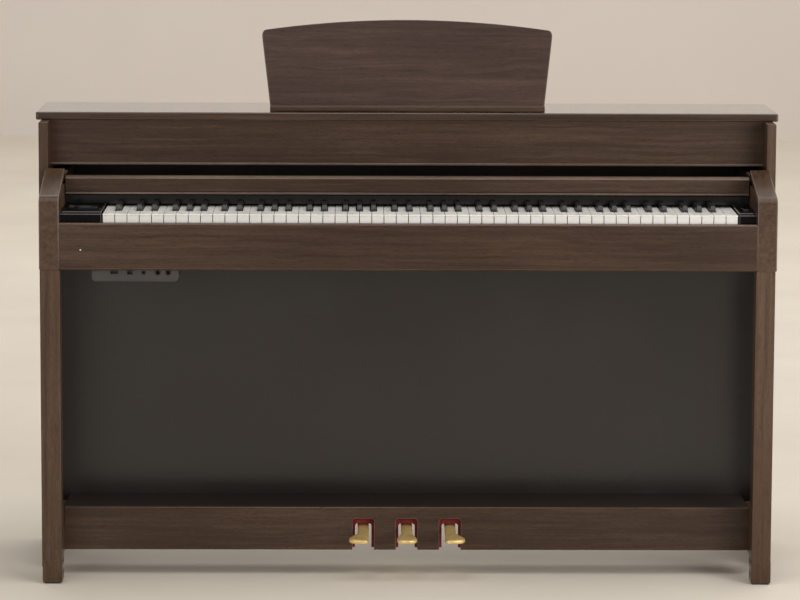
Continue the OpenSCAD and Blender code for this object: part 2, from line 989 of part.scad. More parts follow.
// the circuit board on four posts
module main_board() {
    x = [-420, -160];
    dd = [290, 380];
    post_h = 8;
    color(GREEN)
        union() {
            slab(x, dd, [bed_top + post_h, bed_top + post_h + 2]);
            for (px = [x[0] + 8, x[1] - 8])
                for (pd = [dd[0] + 8, dd[1] - 8])
                    translate([px, d(pd), bed_top])
                        cylinder(h = post_h + 0.5, r = 3);
        }
}

// the socket for the power cord, with two contact pins in its pocket
module ac_inlet() {
    wall = 4;
    depth = 12;
    color(BLACK)
        union() {
            difference() {
                slab([inlet_x - inlet_w / 2, inlet_x + inlet_w / 2],
                     [bed_back - 6, bed_back + back_t],
                     [inlet_z - inlet_h / 2, inlet_z + inlet_h / 2]);
                slab([inlet_x - inlet_w / 2 + wall, inlet_x + inlet_w / 2 - wall],
                     [bed_back + back_t - depth, bed_back + back_t + 1],
                     [inlet_z - inlet_h / 2 + wall, inlet_z + inlet_h / 2 - wall]);
            }
            for (s = [-1, 1])
                translate([inlet_x + s * 8, d(bed_back + back_t - depth - 1), inlet_z])
                    rotate([-90, 0, 0])
                        cylinder(h = 9, r = 1.2);
        }
}

// round screw heads on the rear face of the lower and the upper back
module assembly_screws() {
    head_r = 5;
    head_h = 2;
    edge = 12;
    color(STEEL)
        for (x = [-1 : 0.5 : 1]) {
            for (z = [back_board_bottom + edge, (back_board_bottom + bed_z) / 2, bed_z - edge])
                screw_head(x * (side_in - edge), box_back + back_board_t, z, head_r, head_h);
            for (z = [bed_z + edge, lid_under - edge])
                screw_head(x * (side_in - edge), bed_back + back_t, z, head_r, head_h);
        }
}

module screw_head(x, dd, z, r, h) {
    translate([x, d(dd), z])
        rotate([-90, 0, 0])
            cylinder(h = h, r = r);
}

side_panel(-1);  // side_panel_left
side_panel(1);  // side_panel_right
front_leg(-1);  // front_leg_left
front_leg(1);  // front_leg_right
toes();
key_arm(-1);  // key_arm_left
key_arm(1);  // key_arm_right
cover_guides();
top_lid();
upper_front_board();
cabinet_back();
keybed();
key_slip();
back_board();
kick_board();
pedal_box_top();
pedal_felts();
pedal(-1);  // pedal_left
pedal(0);  // pedal_center
pedal(1);  // pedal_right
pedal_bracket();
pedal_shaft();
pedal_springs();
key_cover_panel();
key_cover_rail();
cover_rollers();
nameboard();
end_block_left();
end_block_right();
music_rest_plate();
music_rest_ledge();
rest_hinges();
rest_brackets();
rest_stays();
jack_box();
jack_sockets();
power_lamp();
power_button();
volume_slider();
panel_display();
speakers();
speaker_grilles();
main_board();
ac_inlet();
assembly_screws();
key_frame();
white_keys();
black_keys();
white_key(octave_first);  // key_c
black_key(octave_first);  // key_c_sharp
white_key(octave_first + 1);  // key_d
black_key(octave_first + 1);  // key_d_sharp
white_key(octave_first + 2);  // key_e
white_key(octave_first + 3);  // key_f
black_key(octave_first + 3);  // key_f_sharp
white_key(octave_first + 4);  // key_g
black_key(octave_first + 4);  // key_g_sharp
white_key(octave_first + 5);  // key_a
black_key(octave_first + 5);  // key_a_sharp
white_key(octave_first + 6);  // key_b
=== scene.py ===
"""A digital piano on its stand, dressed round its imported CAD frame. Metres, front is -Y, up is +Z."""

import json
import math

import bmesh
import bpy
from mathutils import Matrix, Vector


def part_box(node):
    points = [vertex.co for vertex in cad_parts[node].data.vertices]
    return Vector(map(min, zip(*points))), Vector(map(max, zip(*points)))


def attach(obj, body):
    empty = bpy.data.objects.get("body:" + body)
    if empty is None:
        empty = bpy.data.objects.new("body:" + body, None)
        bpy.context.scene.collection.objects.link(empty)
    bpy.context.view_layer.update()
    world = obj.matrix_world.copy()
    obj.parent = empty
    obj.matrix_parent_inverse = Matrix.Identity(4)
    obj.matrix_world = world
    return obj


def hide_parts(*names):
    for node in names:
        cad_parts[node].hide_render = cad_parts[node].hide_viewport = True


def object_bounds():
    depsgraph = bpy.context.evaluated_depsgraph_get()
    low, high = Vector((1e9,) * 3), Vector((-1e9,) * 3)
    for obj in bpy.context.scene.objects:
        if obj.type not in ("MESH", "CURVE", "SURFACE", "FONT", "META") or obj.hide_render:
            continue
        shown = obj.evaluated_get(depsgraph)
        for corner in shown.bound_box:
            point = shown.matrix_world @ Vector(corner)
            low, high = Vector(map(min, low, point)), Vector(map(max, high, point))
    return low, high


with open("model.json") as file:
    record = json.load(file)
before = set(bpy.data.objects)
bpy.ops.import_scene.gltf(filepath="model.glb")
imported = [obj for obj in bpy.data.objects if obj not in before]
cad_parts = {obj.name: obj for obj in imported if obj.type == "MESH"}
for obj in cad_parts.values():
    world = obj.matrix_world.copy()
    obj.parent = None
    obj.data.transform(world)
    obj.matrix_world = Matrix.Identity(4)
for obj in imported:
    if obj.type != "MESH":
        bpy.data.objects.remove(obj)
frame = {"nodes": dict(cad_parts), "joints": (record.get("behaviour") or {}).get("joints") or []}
CAD_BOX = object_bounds()
MM = 0.001
CABINET = "cabinet"
JOINTS = {joint["name"]: joint for joint in frame["joints"]}


# ---------------------------------------------------------------- mesh helpers


def link(obj):
    bpy.context.scene.collection.objects.link(obj)
    return obj


def mesh_object(name, verts, faces):
    """A mesh object at the origin, with its faces turned outward."""
    mesh = bpy.data.meshes.new(name)
    mesh.from_pydata([tuple(v) for v in verts], [], faces)
    shell = bmesh.new()
    shell.from_mesh(mesh)
    bmesh.ops.recalc_face_normals(shell, faces=shell.faces)
    shell.to_mesh(mesh)
    shell.free()
    mesh.shade_smooth()
    return link(bpy.data.objects.new(name, mesh))


def arc(centre, radii, start, end, steps):
    """Points along an ellipse's arc, from angle start to end in degrees."""
    turns = [math.radians(start + (end - start) * i / steps) for i in range(steps + 1)]
    return [(centre[0] + radii[0] * math.cos(t), centre[1] + radii[1] * math.sin(t)) for t in turns]


def on_axis(axis, along, u, v):
    """A point with its place along an axis and its two other coordinates in x, y, z order."""
    if axis == "x":
        return (along, u, v)
    if axis == "y":
        return (u, along, v)
    return (u, v, along)


def prism_data(outline, axis, low, high):
    """The vertices and faces of an outline extruded along an axis."""
    count = len(outline)
    verts = [on_axis(axis, low, u, v) for u, v in outline]
    verts += [on_axis(axis, high, u, v) for u, v in outline]
    sides = [(i, (i + 1) % count, count + (i + 1) % count, count + i) for i in range(count)]
    return verts, [tuple(range(count)), tuple(range(2 * count - 1, count - 1, -1)), *sides]


def prism(name, outline, axis, low, high):
    return mesh_object(name, *prism_data(outline, axis, low, high))


def merged(parts):
    """Several (vertices, faces) as one."""
    verts, faces = [], []
    for part_verts, part_faces in parts:
        base = len(verts)
        verts += part_verts
        faces += [tuple(base + i for i in face) for face in part_faces]
    return verts, faces


def rectangle(u, v):
    return [(u[0], v[0]), (u[1], v[0]), (u[1], v[1]), (u[0], v[1])]


def millimetres(points):
    return [(u * MM, v * MM) for u, v in points]


def box_data(low, high):
    return prism_data(rectangle((low[0], high[0]), (low[1], high[1])), "z", low[2], high[2])


def lathe_data(profile, centre, axis, segments=32):
    """A profile of (radius, place along the axis) points, turned round an axis through centre."""
    verts, faces = [], []
    rings = []
    for radius, along in profile:
        if radius == 0:
            rings.append([len(verts)])
            verts.append(on_axis_offset(centre, axis, along, 0, 0))
            continue
        ring = []
        for i in range(segments):
            turn = math.tau * i / segments
            ring.append(len(verts))
            verts.append(
                on_axis_offset(centre, axis, along, radius * math.cos(turn), radius * math.sin(turn))
            )
        rings.append(ring)
    for lower, upper in zip(rings, rings[1:]):
        for i in range(segments):
            k = (i + 1) % segments
            if len(lower) == 1:
                faces.append((lower[0], upper[i], upper[k]))
            elif len(upper) == 1:
                faces.append((lower[i], lower[k], upper[0]))
            else:
                faces.append((lower[i], lower[k], upper[k], upper[i]))
    return verts, faces


def on_axis_offset(centre, axis, along, u, v):
    step = on_axis(axis, along, u, v)
    return tuple(c + s for c, s in zip(centre, step))


def loft_data(rings):
    """A skin through rings of points, closed at both ends."""
    count = len(rings[0])
    verts = [point for ring in rings for point in ring]
    faces = [tuple(range(count)), tuple(range(len(verts) - 1, len(verts) - count - 1, -1))]
    for r in range(len(rings) - 1):
        for i in range(count):
            k = (i + 1) % count
            low, high = r * count, (r + 1) * count
            faces.append((low + i, low + k, high + k, high + i))
    return verts, faces


def stepped_data(low, high, steps):
    """A block in a box, its sides moved in by the inset at each (inset, z) from one end to the other."""
    rings = []
    for inset, z in steps:
        x, y = (low.x + inset, high.x - inset), (low.y + inset, high.y - inset)
        rings.append([(u, v, z) for u, v in rectangle(x, y)])
    return loft_data(rings)


def tube_data(path, radius, sides=12):
    """A round wire along a path of points in a plane of constant x, or any smooth path."""
    rings = []
    for i, point in enumerate(path):
        before, after = path[max(i - 1, 0)], path[min(i + 1, len(path) - 1)]
        way = (Vector(after) - Vector(before)).normalized()
        side = way.orthogonal().normalized() if abs(way.x) > 0.9 else way.cross((1, 0, 0)).normalized()
        if rings:
            side = (side_before - way * side_before.dot(way)).normalized()
        side_before = side
        up = way.cross(side)
        rings.append([
            tuple(Vector(point) + radius * (math.cos(t) * side + math.sin(t) * up))
            for t in (math.tau * k / sides for k in range(sides))
        ])
    return loft_data(rings)


def round_edges(obj, width, segments=3, angle=35):
    """Rounds the edges that turn by more than angle degrees."""
    bevel = obj.modifiers.new("rounded_edges", "BEVEL")
    bevel.width = width
    bevel.segments = segments
    bevel.limit_method = "ANGLE"
    bevel.angle_limit = math.radians(angle)
    bevel.harden_normals = True
    return obj


def keep_modifiers(obj):
    """Turns an object's modifiers into its own mesh."""
    evaluated = obj.evaluated_get(bpy.context.evaluated_depsgraph_get())
    mesh = bpy.data.meshes.new_from_object(evaluated)
    obj.modifiers.clear()
    obj.data = mesh
    return obj


def combine(obj, parts, operation="DIFFERENCE"):
    """Takes the (vertices, faces) of closed solids out of an object, or joins them with UNION."""
    tool = mesh_object("tool", *merged(parts))
    change = obj.modifiers.new("combine", "BOOLEAN")
    change.operation = operation
    change.solver = "EXACT"
    change.object = tool
    keep_modifiers(obj)
    bpy.data.objects.remove(tool)
    return obj


def sharpen(obj, angle=35):
    """Smooth shading, but for the edges that turn by more than angle degrees."""
    obj.data.shade_smooth()
    obj.data.set_sharp_from_angle(angle=math.radians(angle))
    return obj


def paint(piece, material, edge=None):
    """Gives a piece its material, and another to the faces that round its edges: a lighter material there
    paints a highlight along the edges.
    """
    wanted = [material, edge] if edge else [material]
    slots = piece.data.materials
    while len(slots) < len(wanted):
        slots.append(None)
    for index, held in enumerate(wanted):
        slots[index] = held
    for modifier in piece.modifiers:
        if edge and modifier.type == "BEVEL":
            modifier.material = 1


def dress(piece, material, nodes=(), body=CABINET, edge=None):
    """Gives a piece its materials, its body and the CAD nodes that it stands for."""
    paint(piece, material, edge)
    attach(piece, body)
    if nodes:
        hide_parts(*nodes)
    return piece


def soft_piece(name, parts, width, material, nodes=(), body=CABINET, edge=None, bevel=(3, 35)):
    """A dressed piece with rounded edges. bevel holds the segments and the angle of round_edges."""
    piece = round_edges(mesh_object(name, *merged(parts)), width, *bevel)
    return dress(piece, material, nodes, body, edge)


def smooth_piece(name, parts, angle, material, nodes=(), body=CABINET):
    """A dressed piece with smooth faces, sharp where they turn by more than angle degrees."""
    piece = sharpen(mesh_object(name, *merged(parts)), angle)
    return dress(piece, material, nodes, body)


# ---------------------------------------------------------------- materials


def new_material(name):
    material = bpy.data.materials.new(name)
    material.use_nodes = True
    tree = material.node_tree
    return material, tree, tree.nodes["Principled BSDF"]


def add(tree, kind, inputs=None, **settings):
    """Adds a node. An input's value is a number, a colour or the socket that feeds it."""
    node = tree.nodes.new(kind)
    for key, value in settings.items():
        setattr(node, key, value)
    for key, value in (inputs or {}).items():
        feed(tree, node.inputs[key], value)
    return node


def feed(tree, socket, value):
    """Links a socket to another, or sets it to a number or a colour."""
    if isinstance(value, bpy.types.NodeSocket):
        tree.links.new(value, socket)
    else:
        socket.default_value = value


def object_place(tree):
    return add(tree, "ShaderNodeTexCoord").outputs["Object"]


def noise(tree, scales, detail=4, roughness=0.55, distortion=0.0, warp=None):
    """A noise of 0 to 1 with its own scale along each axis, in cycles a metre."""
    place = object_place(tree) if warp is None else warp
    mapping = add(tree, "ShaderNodeMapping", {"Vector": place, "Scale": scales}).outputs[0]
    settings = {"Vector": mapping, "Scale": 1.0, "Detail": detail, "Roughness": roughness}
    return add(tree, "ShaderNodeTexNoise", {**settings, "Distortion": distortion}).outputs[0]


def spread(tree, value, low, high, to_low, to_high):
    """Maps a value from one range to another, held at its ends."""
    inputs = {0: value, 1: low, 2: high, 3: to_low, 4: to_high}
    return add(tree, "ShaderNodeMapRange", inputs, clamp=True).outputs[0]


def ramp(tree, value, stops):
    """A colour for a value, through (place, colour) stops."""
    node = add(tree, "ShaderNodeValToRGB", {"Fac": value})
    elements = node.color_ramp.elements
    while len(elements) < len(stops):
        elements.new(0.5)
    for element, (place, colour) in zip(elements, stops):
        element.position = place
        element.color = (*colour, 1)
    return node.outputs[0]


def blend(tree, amount, first, second, kind="MIX"):
    inputs = {0: amount, 6: first, 7: second}
    return add(tree, "ShaderNodeMix", inputs, data_type="RGBA", blend_type=kind).outputs[2]


def math_node(tree, operation, first, second):
    return add(tree, "ShaderNodeMath", {0: first, 1: second}, operation=operation).outputs[0]


def total(tree, first, second):
    return math_node(tree, "ADD", first, second)


def connect(tree, shader, **sockets):
    """Links sockets, and sets numbers and colours, on a shader. Underscores stand for spaces."""
    for key, value in sockets.items():
        feed(tree, shader.inputs[key.replace("_", " ")], value)


def bump(tree, shader, height, depth, strength=1.0):
    """Raises the surface by up to depth metres where height is 1."""
    inputs = {"Height": height, "Distance": depth, "Strength": strength}
    tree.links.new(add(tree, "ShaderNodeBump", inputs).outputs[0], shader.inputs["Normal"])


def along_grain(axis, along, across):
    return tuple(along if name == axis else across for name in "xyz")


def rosewood(name, axis, tones, roughness=0.34, wave=0.005, coat=0.14, coat_roughness=0.16, seed=0.0):
    """Dark rosewood: slow waves of figure, fine streaks and open pores, all along the grain."""
    dark, middle, light = tones
    material, tree, shader = new_material(name)
    inputs = {0: object_place(tree), 1: (seed, seed, seed)}
    shifted = add(tree, "ShaderNodeVectorMath", inputs, operation="ADD").outputs[0]
    wander = noise(tree, along_grain(axis, 5, 11), 3, 0.5, warp=shifted)
    push = spread(tree, wander, 0.25, 0.75, -wave, wave)
    shove = add(tree, "ShaderNodeCombineXYZ")
    for index, letter in enumerate("xyz"):
        if letter != axis:
            tree.links.new(push, shove.inputs[index])
    inputs = {0: shifted, 1: shove.outputs[0]}
    bent = add(tree, "ShaderNodeVectorMath", inputs, operation="ADD").outputs[0]
    figure = noise(tree, along_grain(axis, 2.6, 110), 5, 0.6, 0.4, warp=bent)
    streaks = noise(tree, along_grain(axis, 9, 520), 4, 0.6, warp=bent)
    clouds = noise(tree, along_grain(axis, 1.6, 6), 2, 0.5, warp=shifted)
    pores = noise(tree, along_grain(axis, 70, 1500), 2, 0.5, warp=bent)
    both = total(tree, spread(tree, figure, 0, 1, 0, 0.68), spread(tree, streaks, 0, 1, 0, 0.32))
    colour = ramp(tree, both, [(0.34, dark), (0.5, middle), (0.66, light)])
    warmth = blend(tree, spread(tree, clouds, 0.35, 0.65, 0, 0.5), colour, (*light, 1), "SOFT_LIGHT")
    open_pores = spread(tree, pores, 0.56, 0.66, 0, 1)
    final = blend(tree, spread(tree, open_pores, 0, 1, 0, 0.55), warmth, (*dark, 1), "MULTIPLY")
    gloss = total(tree, spread(tree, streaks, 0.3, 0.7, roughness - 0.04, roughness + 0.05),
                  spread(tree, open_pores, 0, 1, 0, 0.12))
    relief = math_node(tree, "SUBTRACT", spread(tree, streaks, 0, 1, 0, 0.3), open_pores)
    connect(tree, shader, Base_Color=final, Roughness=gloss, Specular_IOR_Level=0.26,
            Coat_Weight=coat, Coat_Roughness=coat_roughness)
    bump(tree, shader, relief, 0.00006, 0.6)
    return material


def stained_board(name, axis, dark, light, roughness, **extra):
    """Plain stained board: faint fibres along the grain and a dusty unevenness."""
    material, tree, shader = new_material(name)
    fibres = noise(tree, along_grain(axis, 14, 500), 4, 0.6)
    clouds = noise(tree, (3, 3, 3), 3, 0.5)
    mixed = total(tree, spread(tree, fibres, 0, 1, 0, 0.5), spread(tree, clouds, 0, 1, 0, 0.5))
    colour = ramp(tree, mixed, [(0.35, dark), (0.65, light)])
    gloss = spread(tree, clouds, 0.3, 0.7, roughness - 0.05, roughness + 0.06)
    connect(tree, shader, Base_Color=colour, Roughness=gloss, **extra)
    bump(tree, shader, fibres, 0.00002, 0.4)
    return material


def moulded(name, base, speck, roughness, grain=1800, depth=0.00003, **extra):
    """Moulded plastic: an even colour that drifts a little, over a fine spark-eroded texture."""
    material, tree, shader = new_material(name)
    fine = noise(tree, (grain, grain, grain), 2, 0.5)
    drift = noise(tree, (9, 9, 9), 2, 0.5)
    colour = ramp(tree, drift, [(0.35, base), (0.65, speck)])
    gloss = total(tree, spread(tree, fine, 0.3, 0.7, roughness - 0.03, roughness + 0.03),
                  spread(tree, drift, 0.3, 0.7, -0.03, 0.03))
    connect(tree, shader, Base_Color=colour, Roughness=gloss, **extra)
    bump(tree, shader, fine, depth, 0.5)
    return material


def ivory_resin():
    """White key resin: slightly warm, with faint long grain and satin wear where fingers play."""
    material, tree, shader = new_material("ivory_resin")
    lines = noise(tree, (700, 18, 700), 3, 0.5)
    wear = noise(tree, (26, 14, 26), 3, 0.6)
    colour = ramp(tree, lines, [(0.3, (0.88, 0.86, 0.815)), (0.7, (0.93, 0.915, 0.88))])
    gloss = spread(tree, wear, 0.3, 0.7, 0.2, 0.34)
    connect(tree, shader, Base_Color=colour, Roughness=gloss, Subsurface_Weight=0.06,
            Subsurface_Scale=0.002)
    shader.inputs["Subsurface Radius"].default_value = (1.0, 0.9, 0.75)
    bump(tree, shader, lines, 0.00002, 0.4)
    return material


def ebony_resin():
    """Black key resin: matt, with fine lengthwise grain and a faint polish on top."""
    material, tree, shader = new_material("ebony_resin")
    lines = noise(tree, (900, 25, 900), 4, 0.6)
    wear = noise(tree, (40, 20, 40), 3, 0.6)
    colour = ramp(tree, lines, [(0.35, (0.010, 0.010, 0.011)), (0.65, (0.022, 0.021, 0.021))])
    gloss = spread(tree, wear, 0.3, 0.7, 0.3, 0.42)
    connect(tree, shader, Base_Color=colour, Roughness=gloss)
    bump(tree, shader, lines, 0.00004, 0.6)
    return material


def polished_brass():
    """Lacquered brass with brushed lines along the pedal and duller, browner patches of wear."""
    material, tree, shader = new_material("polished_brass")
    brushed = noise(tree, (900, 30, 300), 3, 0.6)
    patches = noise(tree, (45, 30, 45), 4, 0.6)
    colour = ramp(tree, patches, [(0.3, (0.70, 0.48, 0.17)), (0.55, (0.86, 0.64, 0.27)),
                                  (0.75, (0.94, 0.76, 0.39))])
    gloss = total(tree, spread(tree, patches, 0.3, 0.7, 0.44, 0.32),
                  spread(tree, brushed, 0.3, 0.7, 0.0, 0.07))
    connect(tree, shader, Base_Color=colour, Roughness=gloss, Metallic=0.55)
    bump(tree, shader, brushed, 0.00002, 0.4)
    return material


def plated_steel():
    """Zinc-plated steel: a cool grey with soft crystalline patches."""
    material, tree, shader = new_material("plated_steel")
    cells = add(tree, "ShaderNodeTexVoronoi", {"Vector": object_place(tree), "Scale": 260.0}).outputs[1]
    grey = add(tree, "ShaderNodeRGBToBW", {0: cells}).outputs[0]
    scratches = noise(tree, (60, 1200, 1200), 3, 0.6)
    colour = ramp(tree, grey, [(0.2, (0.42, 0.42, 0.44)), (0.8, (0.60, 0.60, 0.62))])
    gloss = total(tree, spread(tree, grey, 0.2, 0.8, 0.3, 0.42),
                  spread(tree, scratches, 0.4, 0.6, 0.0, 0.08))
    connect(tree, shader, Base_Color=colour, Roughness=gloss, Metallic=1.0)
    bump(tree, shader, scratches, 0.00002, 0.4)
    return material


def red_felt():
    """Pressed wool: fibres in all directions, uneven dye and a soft sheen."""
    material, tree, shader = new_material("red_felt")
    fibres = noise(tree, (1500, 1500, 1500), 6, 0.75, 1.5)
    dye = noise(tree, (90, 90, 90), 3, 0.6)
    mixed = total(tree, spread(tree, fibres, 0, 1, 0, 0.6), spread(tree, dye, 0, 1, 0, 0.4))
    colour = ramp(tree, mixed, [(0.35, (0.085, 0.006, 0.007)), (0.65, (0.26, 0.024, 0.026))])
    connect(tree, shader, Base_Color=colour, Roughness=0.95, Sheen_Weight=0.5, Sheen_Roughness=0.5)
    shader.inputs["Sheen Tint"].default_value = (0.8, 0.25, 0.2, 1)
    bump(tree, shader, fibres, 0.0004, 0.9)
    return material


def cloth(name, dark, light, pitch):
    """A plain weave of two crossing wave trains."""
    material, tree, shader = new_material(name)
    place = object_place(tree)
    threads = [
        add(tree, "ShaderNodeTexWave", {"Vector": place, "Scale": 0.05 / pitch, "Distortion": 0.3},
            bands_direction=direction).outputs[1]
        for direction in ("X", "Y")
    ]
    weave = math_node(tree, "MULTIPLY", *threads)
    colour = ramp(tree, weave, [(0.0, dark), (0.8, light)])
    connect(tree, shader, Base_Color=colour, Roughness=0.85)
    bump(tree, shader, weave, pitch * 0.3, 0.8)
    return material


def dark_glass():
    """The display's window: near-black glass with the faint grid of a dark panel under it."""
    material, tree, shader = new_material("dark_glass")
    smudge = noise(tree, (60, 60, 60), 4, 0.6)
    inputs = {"Vector": object_place(tree), "Scale": 60.0}
    lines = add(tree, "ShaderNodeTexWave", inputs, bands_direction="Y")
    colour = ramp(tree, lines.outputs[1], [(0.2, (0.006, 0.008, 0.009)), (0.9, (0.014, 0.018, 0.020))])
    connect(tree, shader, Base_Color=colour, Roughness=spread(tree, smudge, 0.3, 0.7, 0.05, 0.16),
            Coat_Weight=0.6, Coat_Roughness=0.03)
    return material


def lamp_lens():
    """A small clear lens over a white lamp."""
    material, tree, shader = new_material("lamp_lens")
    cloudy = noise(tree, (900, 900, 900), 2, 0.5)
    colour = ramp(tree, cloudy, [(0.3, (0.70, 0.62, 0.52)), (0.7, (0.90, 0.84, 0.76))])
    connect(tree, shader, Base_Color=colour, Roughness=0.12, Coat_Weight=0.5, Coat_Roughness=0.05)
    return material


def circuit_green():
    """Solder mask with square copper traces under it."""
    material, tree, shader = new_material("circuit_green")
    inputs = {"Vector": object_place(tree), "Scale": 60.0, "Mortar Size": 0.03}
    traces = add(tree, "ShaderNodeTexBrick", inputs).outputs[1]
    colour = blend(tree, traces, (0.015, 0.10, 0.045, 1), (0.06, 0.26, 0.10, 1))
    connect(tree, shader, Base_Color=colour, Roughness=0.35)
    bump(tree, shader, traces, 0.00004, 0.6)
    return material


TONES = ((0.042, 0.021, 0.011), (0.065, 0.035, 0.020), (0.092, 0.053, 0.032))
# A lighter copy of TONES for the legs, arms, toes and side panels: painted light, for the brighter faces of
# the legs and arms.
LEG_TONES = ((0.060, 0.031, 0.016), (0.092, 0.053, 0.031), (0.128, 0.078, 0.049))
# Lighter, warmer tones for the faces that round the edges: a painted highlight along the edges.
EDGE_HIGHLIGHT_TONES = ((0.095, 0.064, 0.046), (0.145, 0.102, 0.077), (0.195, 0.142, 0.112))
REST_TONES = ((0.036, 0.017, 0.012), (0.062, 0.033, 0.024), (0.088, 0.052, 0.038))
POLISHED = (600, 0.000004)

wood_x = rosewood("rosewood_lengthwise", "x", TONES)
wood_y = rosewood("rosewood_front_to_back", "y", LEG_TONES, seed=3.1)
wood_z = rosewood("rosewood_upright", "z", LEG_TONES, seed=7.7)
# Rosewood in the lighter edge tones, for the faces that round the edges: a painted highlight.
wood_edge_highlight_x = rosewood("rosewood_edge_highlight_lengthwise", "x", EDGE_HIGHLIGHT_TONES, seed=1.4)
wood_edge_highlight_y = rosewood("rosewood_edge_highlight_front_to_back", "y", EDGE_HIGHLIGHT_TONES, seed=2.6)
wood_lid = rosewood("rosewood_lid", "x", TONES, 0.22, coat=1.0, coat_roughness=0.025, seed=5.2)
wood_rest = rosewood("rosewood_music_rest", "x", REST_TONES, 0.42, wave=0.006, seed=12.3)
inner_wood = stained_board("inner_board", "x", (0.018, 0.011, 0.008), (0.034, 0.022, 0.016), 0.5)
black_board = stained_board(
    "satin_black_board", "x", (0.012, 0.0088, 0.0074), (0.0175, 0.0125, 0.0106), 0.27,
    Coat_Weight=0.22, Coat_Roughness=0.2,
)
ivory = ivory_resin()
ebony = ebony_resin()
brass = polished_brass()
steel = plated_steel()
felt = red_felt()
gloss_black = moulded(
    "gloss_black", (0.002, 0.002, 0.002), (0.004, 0.004, 0.004), 0.09, *POLISHED, Specular_IOR_Level=0.12
)
# A lighter grey for the bevels of the gloss black blocks: a painted highlight along their edges.
gloss_edge_highlight = moulded("gloss_black_edge_highlight", (0.045, 0.043, 0.040), (0.060, 0.057, 0.053), 0.2, *POLISHED)
nameboard_black = moulded("nameboard_black", (0.006, 0.006, 0.006), (0.010, 0.010, 0.009), 0.14, *POLISHED)
black_plastic = moulded("black_plastic", (0.012, 0.012, 0.013), (0.020, 0.019, 0.019), 0.45)
jack_plastic = moulded("jack_plastic", (0.048, 0.042, 0.038), (0.062, 0.054, 0.049), 0.5)
cone_paper = moulded("cone_paper", (0.012, 0.012, 0.012), (0.026, 0.025, 0.024), 0.8, 900, 0.0001)
grille_weave = cloth("grille_weave", (0.004, 0.004, 0.004), (0.030, 0.030, 0.030), 0.0012)
display_glass = dark_glass()
lens = lamp_lens()
board_green = circuit_green()

CARRIED_OVER = {
    "cover_guides": inner_wood,
    "cabinet_back": black_board,
    "keybed": inner_wood,
    "back_board": black_board,
    "pedal_bracket": steel,
    "pedal_shaft": steel,
    "key_cover_panel": wood_x,
    "cover_rollers": black_plastic,
    "rest_hinges": steel,
    "rest_brackets": steel,
    "speakers": cone_paper,
    "main_board": board_green,
    "ac_inlet": black_plastic,
    "key_frame": steel,
}


def dress_carried_nodes():
    """Better materials for the CAD nodes whose shapes are right as they are."""
    for node, material in CARRIED_OVER.items():
        for held in frame["nodes"][node].material_slots:
            held.material = material


# ---------------------------------------------------------------- cabinet


def board(name, node, material, width, segments=3):
    """A flat board in its node's box, with softened edges."""
    soft_piece(name, [box_data(*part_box(node))], width, material, [node], bevel=(segments, 35))


def make_side_panel(word):
    board(f"side_board_{word}", f"side_panel_{word}", wood_z, 1.2 * MM)


def make_front_leg(word):
    """A square leg on a block foot that stands a hair proud of it, with a plastic glide below."""
    node = f"front_leg_{word}"
    low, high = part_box(node)
    foot_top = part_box("toes")[0].z
    slim, step, chamfer, glide = 0.5 * MM, 0.3 * MM, 1 * MM, 2 * MM
    shank = box_data((low.x + slim, low.y + slim, foot_top - 2 * MM),
                     (high.x - slim, high.y - 1 * MM, high.z))
    foot = ((glide, glide), (0, 2.5 * glide), (0, foot_top - chamfer), (step, foot_top))
    soft_piece(f"leg_{word}", [shank, stepped_data(low, high, foot)], 1.3 * MM, wood_z, [node])
    rim = 4 * MM
    pad = box_data((low.x + rim, low.y + rim, low.z), (high.x - rim, high.y - rim, 2.5 * MM))
    soft_piece(f"foot_glide_{word}", [pad], 0.8 * MM, black_plastic)


def make_toes():
    """The rails between the feet and the side panels, with their lower front corners cut off."""
    low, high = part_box("toes")
    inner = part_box("front_leg_right")[0].x + 2 * MM
    corner = 7 * MM
    outline = [(low.y, low.z + corner), (low.y + corner, low.z), (high.y, low.z), (high.y, high.z),
               (low.y, high.z)]
    rails = [prism_data(outline, "x", *sorted((side * inner, side * high.x))) for side in (-1, 1)]
    soft_piece("toe_rails", rails, 1.2 * MM, wood_y, ["toes"])


def make_lid():
    """The lid, with full rounded edges."""
    board("lid_board", "top_lid", wood_lid, 3.2 * MM, segments=4)


def make_upper_board():
    """The board under the lid, with a slim bead along its lower edge."""
    low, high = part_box("upper_front_board")
    bead_z, proud = 4.5 * MM, 2.2 * MM
    outline = [
        (high.y, low.z), (low.y, low.z), (low.y - proud, low.z + 1 * MM),
        (low.y - proud, low.z + bead_z - 1 * MM), (low.y, low.z + bead_z), (low.y, high.z),
        (high.y, high.z),
    ]
    face = prism_data(outline, "x", low.x, high.x)
    soft_piece("upper_board", [face], 0.9 * MM, wood_x, ["upper_front_board"], edge=wood_edge_highlight_x)


def make_key_slip():
    """The board in front of the keys, round along its top and bevelled along its bottom."""
    low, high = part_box("key_slip")
    top_r, chin = 3.5 * MM, 3 * MM
    outline = [(high.y, low.z), (low.y + chin, low.z), (low.y, low.z + chin)]
    outline += arc((low.y + top_r, high.z - top_r), (top_r, top_r), 180, 90, 5)
    outline += [(high.y - 1 * MM, high.z), (high.y, high.z - 1 * MM)]
    slip = prism_data(outline, "x", low.x, high.x)
    soft_piece("slip_board", [slip], 1.2 * MM, wood_x, ["key_slip"], edge=wood_edge_highlight_x,
               bevel=(3, 12))


COVER_MID_R = 424 * MM
GROOVE_HALF = 4.3 * MM
GROOVE_DEPTH = 6 * MM


def groove_outline():
    """The curved slot of the cover's rollers, as a side view from its back end to its front end."""
    centre = JOINTS["key_cover_swing"]["pos_m"][1:]
    back, front = 90 - 34, 90 + 17.2
    inner = arc(centre, (COVER_MID_R - GROOVE_HALF,) * 2, back, front, 24)
    outer = arc(centre, (COVER_MID_R + GROOVE_HALF,) * 2, front, back, 24)
    return inner + outer


